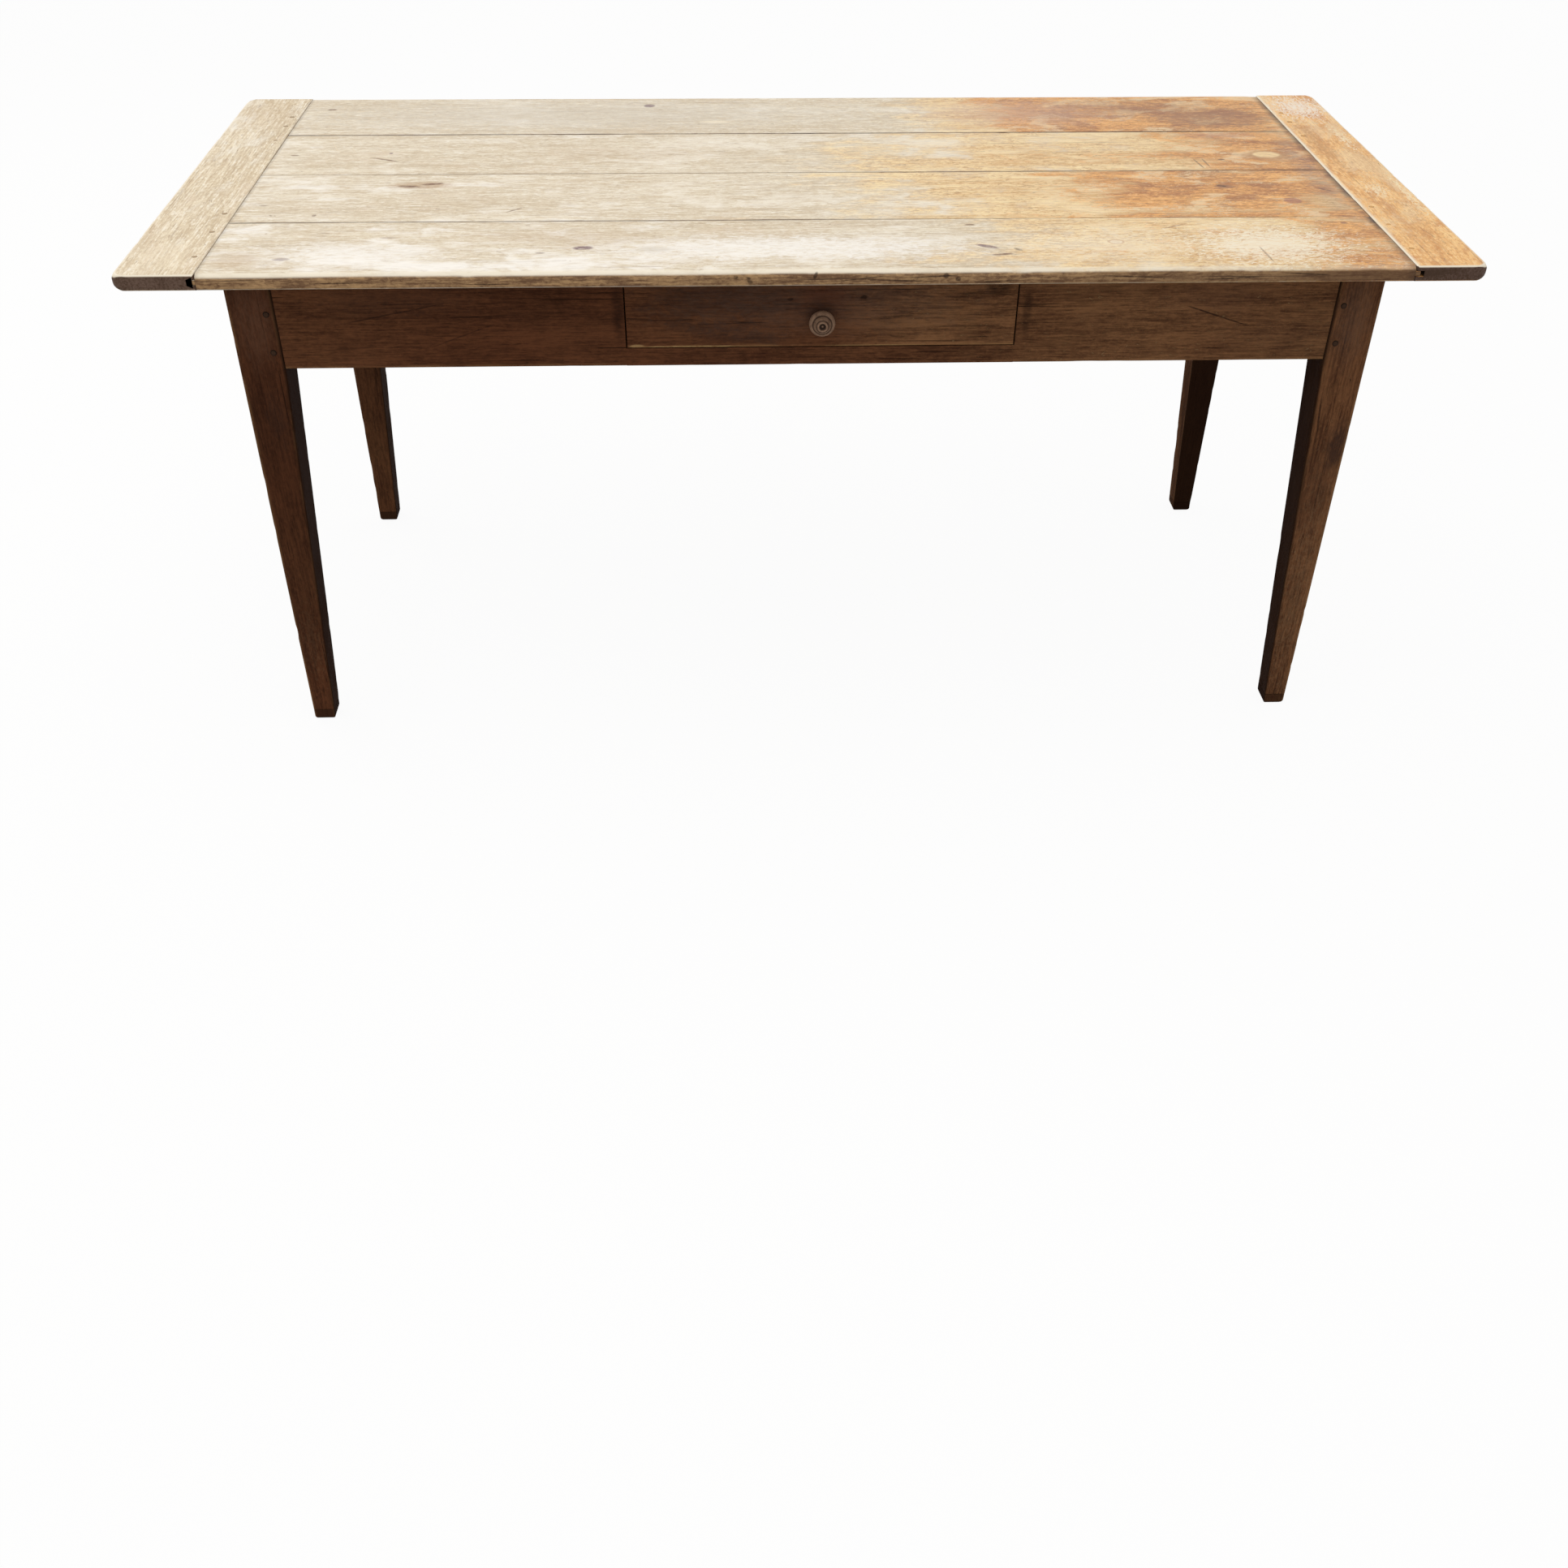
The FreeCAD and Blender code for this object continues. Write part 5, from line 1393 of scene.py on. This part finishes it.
@dataclass
class Peg:
    """Hand-cut round peg with an uneven outline and a slightly domed head.

    Attributes:
        radius: radius of the peg.
        seed: shifts its unevenness.
        sides: points round it.
    """

    radius: float
    seed: float
    sides: int = 20

    def add_to(self, parts: MeshParts, tail: Vector, head: Vector) -> None:
        """Add the peg between two points to a mesh."""
        axis = (head - tail).normalized()
        turn = axis.to_track_quat("Z", "Y").to_matrix()
        length = (head - tail).length
        rings = []
        dome = ((0.0, 0.9), (length - 0.7 * MM, 1.0), (length - 0.25 * MM, 0.93), (length, 0.6))
        for height, share in dome:
            # Painted shadow line round the head, carried as dirt; the rest of the peg counts as worn.
            rim = 0.9 if 0.92 < share else 0.0
            state = Vector((1 - rim, rim, 0.5))
            ring = []
            for number in range(self.sides):
                angle = 2 * math.pi * number / self.sides
                spot = Vector((math.cos(angle), math.sin(angle), 0.0))
                radius = self.radius * share * (0.94 + 0.06 * ripple(spot, 1.3, self.seed))
                place = tail + turn @ (spot * radius + Vector((0, 0, height)))
                ring.append(parts.add(place, place + Vector((self.seed, 0, 0)), state, 1.0))
            rings.append(ring)
        parts.skin(rings)
        parts.faces += [rings[0], rings[-1]]


@dataclass
class Underframe:
    """Tapered legs on dark foot blocks, the rails between them and their pegs.

    Attributes:
        foot_width: width of the feet along the table.
        foot_depth: depth of the feet across the table.
        arris: radius of the legs' arrises.
        rail_arris: radius of the rails' lower arrises.
        rail_top_arris: radius of their upper arrises.
        taper_drop: how far under the rails the taper starts.
        sink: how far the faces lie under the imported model's faces at most.
        peg_radius: radius of the pegs.
        strip: height of the rail under the drawer.
        foot_round: radius of the worn arris under the feet.
        foot_gap: open joint between a foot and its leg.
        leg_end: radius of the arrises round the ends of legs and feet.
        rail_end: radius of the arrises round the ends of the rails.
    """

    foot_width: float = 32 * MM
    foot_depth: float = 36 * MM
    arris: float = 1.2 * MM
    rail_arris: float = 1.5 * MM
    rail_top_arris: float = 1 * MM
    taper_drop: float = 10 * MM
    sink: float = 0.2 * MM
    peg_radius: float = 4.5 * MM
    strip: float = 25 * MM
    foot_round: float = 8 * MM
    foot_gap: float = 0.6 * MM
    leg_end: float = 0.6 * MM
    rail_end: float = 0.4 * MM

    def build(self, frame_finish: Material, foot_finish: Material,
              peg_finish: Material) -> None:
        """Build and dress legs, feet, rails and pegs.

        Args:
            frame_finish: material of the legs and rails.
            foot_finish: material of the foot blocks.
            peg_finish: material of the pegs.
        """
        self.rail_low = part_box("front_rail")[0][2]
        for number, corner in enumerate(("front_left", "front_right", "back_left", "back_right")):
            leg = self.leg(f"leg_{corner}", corner, number)
            finish_piece(leg, Body.TABLE, [f"leg_{corner}"], frame_finish)
            foot = self.leg(f"foot_{corner}", corner, number)
            finish_piece(foot, Body.TABLE, [f"foot_{corner}"], foot_finish)
            pegs = self.pegs(corner, number)
            finish_piece(pegs, Body.TABLE, [f"rail_pegs_{corner}"], peg_finish)
        for number, (name, run) in enumerate((
            ("front_rail", Run.X), ("back_rail", Run.X), ("end_rail_left", Run.Y), ("end_rail_right", Run.Y),
        )):
            rail = self.rail(name, run, 14.0 + number)
            finish_piece(rail, Body.TABLE, [name], frame_finish)

    def leg(self, node: str, corner: str, number: int) -> Item:
        """Leg or foot block of one corner: outer faces upright, inner faces tapered.

        Args:
            node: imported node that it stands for.
            corner: corner of the table that it stands at.
            number: which leg it is.

        Returns:
            The piece's object.
        """
        low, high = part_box(f"leg_{corner}")
        (outer_x, inner_x), (outer_y, inner_y) = self._faces(low, high, corner)
        size = abs(inner_x - outer_x)
        taper_top = self.rail_low - self.taper_drop
        corners = rectangle((outer_x, inner_x), (outer_y, inner_y), 4 * (self.arris,), (1.0, 0.8, 0.6, 0.8))
        section = rounded_section(corners, step=12 * MM)
        seed = 10.0 + number

        def shape(along: float, point: SectionPoint) -> Pair:
            """Taper the inner faces, wave all faces and nick the arrises."""
            share = min(1.0, along / taper_top)
            wide, deep = self._leg_size(size, share)
            wide, deep = wide / size, deep / size
            across = outer_x + (point.across - outer_x) * wide
            up = outer_y + (point.up - outer_y) * deep
            place = Vector((across, up, along))
            mid_x = outer_x + (inner_x - outer_x) * wide / 2
            mid_y = outer_y + (inner_y - outer_y) * deep / 2
            dip = wave(place, 9.0, seed, self.sink)
            dip += point.wear * nick(place, 40.0, seed + 2.0, 0.25, 2.5 * MM)
            if along < self.foot_round:
                height = max(0.0, along)
                dip += self.foot_round - math.sqrt(self.foot_round**2 - (self.foot_round - height) ** 2)
            across += math.copysign(dip, mid_x - across)
            up += math.copysign(dip, mid_y - up)
            return across, up

        def fade(place: Vector) -> float:
            """Lighter towards the foot, and lighter on the right of the table."""
            light, lift = (0.56, 0.10) if place.x > 0 else (0.0, 0.15)
            if corner == "back_left":
                light = 0.22
            return within(light + lift * ease(place.z, 0.45, 0.10) + 0.2 * ripple(place, 6.0, seed))

        def soil_and_shade(place: Vector) -> float:
            """Painted shade on the two inner faces, strongest on the one facing along the table, and on the
            back right leg on the one facing across it; also a painted shadow halfway up the legs on the left.
            """
            wide, deep = self._leg_size(size, min(1.0, place.z / taper_top))
            inward_x = abs(place.x - outer_x) / wide
            inward_y = abs(place.y - outer_y) / deep
            shadow = 0.34 * ease(place.x, 0.0, -0.5) * ease(abs(place.z - 0.36), 0.34, 0.15)
            dark_x, dark_y = (0.25, 0.94) if corner == "back_right" else (0.92, 0.22)
            return max(dark_x * ease(inward_x, 0.94, 0.97), dark_y * ease(inward_y, 0.94, 0.97), shadow)

        bottom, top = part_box(node)[0][2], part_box(node)[1][2]
        stations = evenly(bottom, top, 8 * MM)
        if node.startswith("foot"):
            stations = evenly(bottom, top - self.foot_gap, 1 * MM)
        board = Board(Run.Z, stations, section, seed, shape, fade, soil_and_shade, end_round=self.leg_end)
        return board.alone(f"{node}_worn")

    @staticmethod
    def _faces(low: tuple[float, ...], high: tuple[float, ...], corner: str) -> tuple[Pair, Pair]:
        """Outer and inner face of a box at a corner of the table, along and then across the table."""
        along = (low[0], high[0]) if "left" in corner else (high[0], low[0])
        across = (low[1], high[1]) if "front" in corner else (high[1], low[1])
        return along, across

    def _leg_size(self, size: float, share: float) -> Pair:
        """Width and depth of a leg at a share of the way from its foot to the top of its taper."""
        wide = self.foot_width + (size - self.foot_width) * share
        deep = self.foot_depth + (size - self.foot_depth) * share
        return wide, deep

    def rail(self, name: str, run: Run, seed: float) -> Item:
        """Rail between two legs; the front one is cut away for the drawer.

        Args:
            name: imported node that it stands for.
            run: direction of the rail.
            seed: shifts its grain.

        Returns:
            The rail's object.
        """
        low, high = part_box(name)
        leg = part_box("leg_front_left")
        if run is Run.X:
            first, last = leg[1][0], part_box("leg_front_right")[0][0]
            near, far = low[1], high[1]
        else:
            first, last = leg[1][1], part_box("leg_back_left")[0][1]
            near, far = low[0], high[0]
        bottom, top = low[2], high[2]
        radii = (self.rail_arris, self.rail_arris, self.rail_top_arris, self.rail_top_arris)
        corners = rectangle((near, far), (bottom, top), radii, (0.7, 0.7, 0.0, 0.0))
        section = rounded_section(corners, step=9 * MM)
        middle = (near + far) / 2
        notch = (math.inf, math.inf)
        stations = evenly(first, last, 10 * MM)
        if name == "front_rail":
            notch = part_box("drawer_guide_left")[1][0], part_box("drawer_guide_right")[0][0]
            stations += [edge + shift for edge in notch for shift in (-0.05 * MM, 0.05 * MM)]

        def shape(along: float, point: SectionPoint) -> Pair:
            """Drop the top edge in the drawer opening and wave the faces."""
            place = run.point(along, point.across, point.up)
            up = point.up
            if notch[0] < along < notch[1]:
                up = bottom + (up - bottom) * self.strip / (top - bottom)
            dip = wave(place, 7.0, seed, self.sink) + point.wear * nick(place, 35.0, seed, 0.3, 1.8 * MM)
            return point.across + math.copysign(dip, middle - point.across), up + 0.5 * dip * point.wear

        def fade(place: Vector) -> float:
            """Redder on the left of the table, browner on the right."""
            return within(0.12 + 0.88 * ease(place.x, 0.0, 0.50) + 0.25 * ripple(place, 4.0, seed))

        board = Board(run, sorted(stations), section, seed, shape, fade, end_round=self.rail_end)
        return board.alone(f"{name}_worn")

    def pegs(self, corner: str, number: int) -> Item:
        """Pegs of one leg: two from the long side and two from the end.

        Args:
            corner: corner of the table.
            number: which leg it is.

        Returns:
            One object with all the pegs of that leg.
        """
        low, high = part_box(f"rail_pegs_{corner}")
        radius = self.peg_radius
        (outer_x, inner_x), (outer_y, inner_y) = self._faces(low, high, corner)
        into_x, into_y = math.copysign(radius, outer_x - inner_x), math.copysign(radius, outer_y - inner_y)
        across, depth = inner_x + into_x, inner_y + into_y
        parts = MeshParts()
        for step, height in enumerate((low[2] + radius, high[2] - radius)):
            seed = 60.0 + 7 * number + step
            tail = Vector((across, inner_y + 2 * into_y, height))
            Peg(radius, seed).add_to(parts, tail, Vector((across, outer_y, height)))
            tail = Vector((inner_x + 2 * into_x, depth, height))
            Peg(radius, seed + 3).add_to(parts, tail, Vector((outer_x, depth, height)))
        return parts.to_object(f"rail_pegs_{corner}_cut")


@dataclass
class Drawer:
    """Drawer front and turned knob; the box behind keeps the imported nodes.

    Attributes:
        arris: radius of the front's arrises.
        sink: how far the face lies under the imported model's face at most.
        end_lap: how far the dovetails of the sides stand out of the front's ends.
        segments: points round the knob.
    """

    arris: float = 1 * MM
    sink: float = 0.5 * MM
    end_lap: float = 0.4 * MM
    segments: int = 72

    def build(self, front_finish: Material, knob_finish: Material) -> None:
        """Build and dress the front and the knob.

        Args:
            front_finish: material of the front.
            knob_finish: material of the knob.
        """
        finish_piece(self.front(), Body.DRAWER, ["drawer_front"], front_finish)
        finish_piece(self.knob(), Body.DRAWER, ["drawer_knob"], knob_finish)

    def front(self) -> Item:
        """Front board, its lower arris rubbed pale by use."""
        low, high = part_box("drawer_front")
        sides, faces = (low[1], high[1]), (low[2], high[2])
        corners = rectangle(sides, faces, 4 * (self.arris,), (1.0, 0.0, 0.0, 0.6))
        section = rounded_section(corners, step=9 * MM)
        middle = (low[1] + high[1]) / 2
        seed = 23.0

        def shape(along: float, point: SectionPoint) -> Pair:
            """Wave the face and nick the arrises."""
            place = Vector((along, point.across, point.up))
            dip = wave(place, 8.0, seed, self.sink) + point.wear * nick(place, 45.0, seed, 0.3, 2.0 * MM)
            return point.across + math.copysign(dip, middle - point.across), point.up

        def fade(place: Vector) -> float:
            """Lighter on the right half."""
            return within(0.15 + 0.85 * ease(place.x, 0.02, 0.18) + 0.2 * ripple(place, 5.0, seed))

        stations = evenly(low[0] + self.end_lap, high[0] - self.end_lap, 8 * MM)
        board = Board(Run.X, stations, section, seed, shape, fade, end_round=0.6 * self.arris)
        return board.alone("drawer_front_worn")

    def knob(self) -> Item:
        """Knob turned from a profile of beads and grooves."""
        low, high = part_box("drawer_knob")
        centre = Vector(((low[0] + high[0]) / 2, 0.0, (low[2] + high[2]) / 2))
        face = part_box("drawer_front")[0][1]
        reach = face - low[1]
        rim = (high[0] - low[0]) / 2
        parts = MeshParts()
        rings = []
        for radius, out, dirt in self._profile(rim, reach):
            ring = []
            for number in range(self.segments):
                angle = 2 * math.pi * number / self.segments
                spot = Vector((radius * math.cos(angle), face - out, radius * math.sin(angle)))
                state = Vector((0.3 * (1 - dirt), dirt, 0.5))
                ring.append(parts.add(centre + spot, centre + spot, state, 0.0))
            rings.append(ring)
        parts.skin(rings)
        parts.faces += [rings[0], rings[-1]]
        return parts.to_object("drawer_knob_turned", 50.0)

    @staticmethod
    def _profile(rim: float, reach: float) -> list[tuple[float, float, float]]:
        """Radius, distance out of the drawer's face, and dirt, from the spigot to the middle of the face."""
        half = 6.0 * MM
        waist = 13.5 * MM
        belly = [math.radians(angle) for angle in range(-80, 61, 20)]
        crown = waist + half * math.sin(belly[-1])
        neck = (
            (6.0, -22.0, 0.6), (6.0, 0.1, 0.9), (11.2, 0.1, 0.9), (12.0, 0.8, 0.5), (12.0, 3.0, 0.2),
            (11.2, 4.0, 0.4), (8.6, 5.2, 0.8), (8.8, 7.0, 0.7),
        )
        bead = ((14.0, 0.5, 0.15), (13.2, 0.1, 0.85), (12.4, 0.9, 0.7), (11.6, 2.2, 0.15))
        button = (
            (9.6, -2.6, 0.1), (8.6, -2.8, 0.8), (7.9, -2.0, 0.6), (7.0, -0.5, 0.1), (5.8, 0.0, 0.0),
            (4.8, -0.5, 0.3), (4.0, -2.2, 0.95), (2.0, -3.0, 0.95), (1.3, -2.6, 0.5), (0.3, -2.0, 0.1),
        )
        profile = [(radius * MM, out * MM, dirt) for radius, out, dirt in neck]
        for turn in belly:
            profile.append((rim - half + half * math.cos(turn), waist + half * math.sin(turn), 0.1))
        profile += [(radius * MM, crown + out * MM, dirt) for radius, out, dirt in bead]
        profile += [(radius * MM, reach + out * MM, dirt) for radius, out, dirt in button]
        return profile


@dataclass(frozen=True)
class HiddenPieces:
    """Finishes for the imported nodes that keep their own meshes."""

    along_table: tuple[str, ...] = (
        "drawer_back", "drawer_bottom", "top_buttons", "drawer_stops", "foot_dowels",
    )
    across_table: tuple[str, ...] = (
        "drawer_side_left", "drawer_side_right", "drawer_runner_left", "drawer_runner_right",
        "drawer_guide_left", "drawer_guide_right",
    )
    iron: tuple[str, ...] = ("top_screws", "drawer_nails")

    def dress(self, nodes: dict[str, Item], effects: Effects) -> None:
        """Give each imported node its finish.

        Args:
            nodes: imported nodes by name.
            effects: shared shader groups.
        """
        light, dark = (0.46, 0.31, 0.17), (0.24, 0.145, 0.075)
        for names, finish in (
            (self.along_table, BareFinish("bare_wood_lengthwise", effects, light, dark, 0.0)),
            (self.across_table, BareFinish("bare_wood_crosswise", effects, light, dark, 90.0)),
            (self.iron, IronFinish("dull_iron", effects)),
        ):
            for name in names:
                for slot in nodes[name].material_slots:
                    slot.material = finish.material
                LOG.info("%s keeps its packed mesh in %s", name, finish.material.name)


def white_where_seen(graph: Graph, plain: bpy.types.Node, white: bpy.types.Node) -> Socket:
    """Shader that is white to the camera, also through gloss and glass, and plain to all other rays."""
    path = graph.add("ShaderNodeLightPath").outputs
    mirrored = graph.math("MAXIMUM", path["Is Glossy Ray"], path["Is Transmission Ray"])
    seen = graph.math("MAXIMUM", path["Is Camera Ray"], mirrored)
    return graph.add("ShaderNodeMixShader", {0: seen, 1: plain.outputs[0], 2: white.outputs[0]}).outputs[0]


@dataclass
class Studio:
    """Camera, lamps, white surroundings and floor.

    Attributes:
        camera_place: where the camera stands.
        right: direction of the picture's width.
        down: direction of the picture's height, downward.
        focal_pixels: focal length in pixels of the picture.
        picture: width and height of the picture in pixels.
    """

    camera_place: Vector = field(default_factory=lambda: Vector((-0.1137, -2.4469, 1.5167)))
    right: Vector = field(default_factory=lambda: Vector((0.99930, -0.03690, 0.00639)))
    down: Vector = field(default_factory=lambda: Vector((-0.01788, -0.62015, -0.78428)))
    focal_pixels: float = 1968.4
    picture: float = 1932.0

    def build(self) -> None:
        """Set up the camera, the light and the floor."""
        self._camera()
        self._world()
        self._lamps()
        self._floor()
        bpy.context.scene.view_settings.view_transform = "Standard"

    def _camera(self) -> None:
        """Camera at the photograph's place and angle."""
        data = bpy.data.cameras.new("camera")
        data.sensor_fit = "HORIZONTAL"
        data.sensor_width = 36.0
        data.lens = self.focal_pixels / self.picture * data.sensor_width
        data.clip_end = 200.0
        camera = bpy.data.objects.new("camera", data)
        right = self.right.normalized()
        up = (-self.down - right * (-self.down).dot(right)).normalized()
        back = right.cross(up)
        turn = Matrix((right, up, back)).transposed().to_4x4()
        camera.matrix_world = Matrix.Translation(self.camera_place) @ turn
        bpy.context.scene.collection.objects.link(camera)
        bpy.context.scene.camera = camera

    @staticmethod
    def _world() -> None:
        """Even pale surroundings, white where the camera sees them."""
        world = bpy.data.worlds.new("studio")
        world.use_nodes = True
        world.node_tree.nodes.clear()
        graph = Graph(world.node_tree)
        plain = graph.add("ShaderNodeBackground", {"Color": (1.0, 0.98, 0.95), "Strength": 0.68})
        white = graph.add("ShaderNodeBackground", {"Color": (1, 1, 1), "Strength": 1.0})
        graph.add("ShaderNodeOutputWorld", {"Surface": white_where_seen(graph, plain, white)})
        bpy.context.scene.world = world

    @staticmethod
    def _lamps() -> None:
        """Two broad soft lamps overhead."""
        for name, place, aim, size, power in (
            ("overhead", (-0.5, -0.7, 2.9), (-0.1, -0.1, 0.75), 2.2, 18.5),
            ("window", (-2.6, 1.6, 2.4), (0.0, 0.0, 0.75), 1.8, 14.0),
        ):
            data = bpy.data.lights.new(name, "AREA")
            data.size = size
            data.energy = power
            data.color = (1.0, 0.97, 0.93)
            lamp = bpy.data.objects.new(name, data)
            lamp.location = place
            lamp.rotation_euler = (Vector(aim) - Vector(place)).to_track_quat("-Z", "Y").to_euler()
            bpy.context.scene.collection.objects.link(lamp)

    @staticmethod
    def _floor() -> None:
        """White floor that keeps a soft shadow."""
        half = 20.0
        mesh = bpy.data.meshes.new("floor")
        corners = [(-half, -half, 0), (half, -half, 0), (half, half, 0), (-half, half, 0)]
        mesh.from_pydata(corners, [], [(0, 1, 2, 3)])
        floor = bpy.data.objects.new("floor", mesh)
        bpy.context.scene.collection.objects.link(floor)
        material = bpy.data.materials.new("pale_floor")
        material.use_nodes = True
        material.node_tree.nodes.clear()
        graph = Graph(material.node_tree)
        paint = graph.add("ShaderNodeBsdfDiffuse", {"Color": (0.62, 0.61, 0.60)})
        shadowed = graph.add("ShaderNodeBsdfDiffuse", {"Color": (0.96, 0.96, 0.96)})
        white = graph.add("ShaderNodeEmission", {"Color": (1, 1, 1), "Strength": 1.0})
        backdrop = graph.add("ShaderNodeMixShader", {0: 0.94, 1: shadowed.outputs[0], 2: white.outputs[0]})
        graph.add("ShaderNodeOutputMaterial", {"Surface": white_where_seen(graph, paint, backdrop)})
        mesh.materials.append(material)


def main() -> None:
    """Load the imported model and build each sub-assembly."""
    logging.basicConfig(level=logging.INFO, format="%(message)s")
    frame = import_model()
    effects = Effects()
    marks = PALE_END_MARKS + HONEY_MARKS
    planks = TopFinish("waxed_planks", effects, TopColours(), marks, EDGE_MARKS, scuffed=0.6, rubbed=0.3)
    end_colours = TopColours(
        pale_light=(0.89, 0.785, 0.60), pale_dark=(0.60, 0.475, 0.315),
        honey_light=(1.0, 0.65, 0.28), honey_dark=(0.80, 0.39, 0.12), brown=(0.60, 0.25, 0.075),
    )
    ends = TopFinish("waxed_ends", effects, end_colours, END_MARKS, (), scuffed=0.5, rubbed=1.0)
    dark = FrameFinish("dark_frame", effects, FrameColours(), FRAME_MARKS)
    foot_colours = FrameColours(red_brown=(0.050, 0.022, 0.012), brown=(0.085, 0.042, 0.02))
    feet = FrameFinish("dark_feet", effects, foot_colours, ())
    top_pegs, honey_pegs, rail_pegs, knob = (
        TurnedFinish(name, effects, light, dull, groove)
        for name, light, dull, groove in (
            ("peg_ends_pale", (0.44, 0.32, 0.20), (0.25, 0.165, 0.095), (0.06, 0.036, 0.022)),
            ("peg_ends_honey", (0.70, 0.38, 0.14), (0.46, 0.22, 0.075), (0.22, 0.10, 0.04)),
            ("peg_ends_dark", (0.050, 0.026, 0.015), (0.025, 0.013, 0.008), (0.008, 0.005, 0.004)),
            ("turned_knob", (0.34, 0.215, 0.145), (0.17, 0.098, 0.062), (0.022, 0.012, 0.008)),
        )
    )
    TableTop().build(planks.material, ends.material, (top_pegs.material, honey_pegs.material))
    Underframe().build(dark.material, feet.material, rail_pegs.material)
    Drawer().build(dark.material, knob.material)
    HiddenPieces().dress(frame["nodes"], effects)
    Studio().build()


if __name__ == "__main__":
    main()
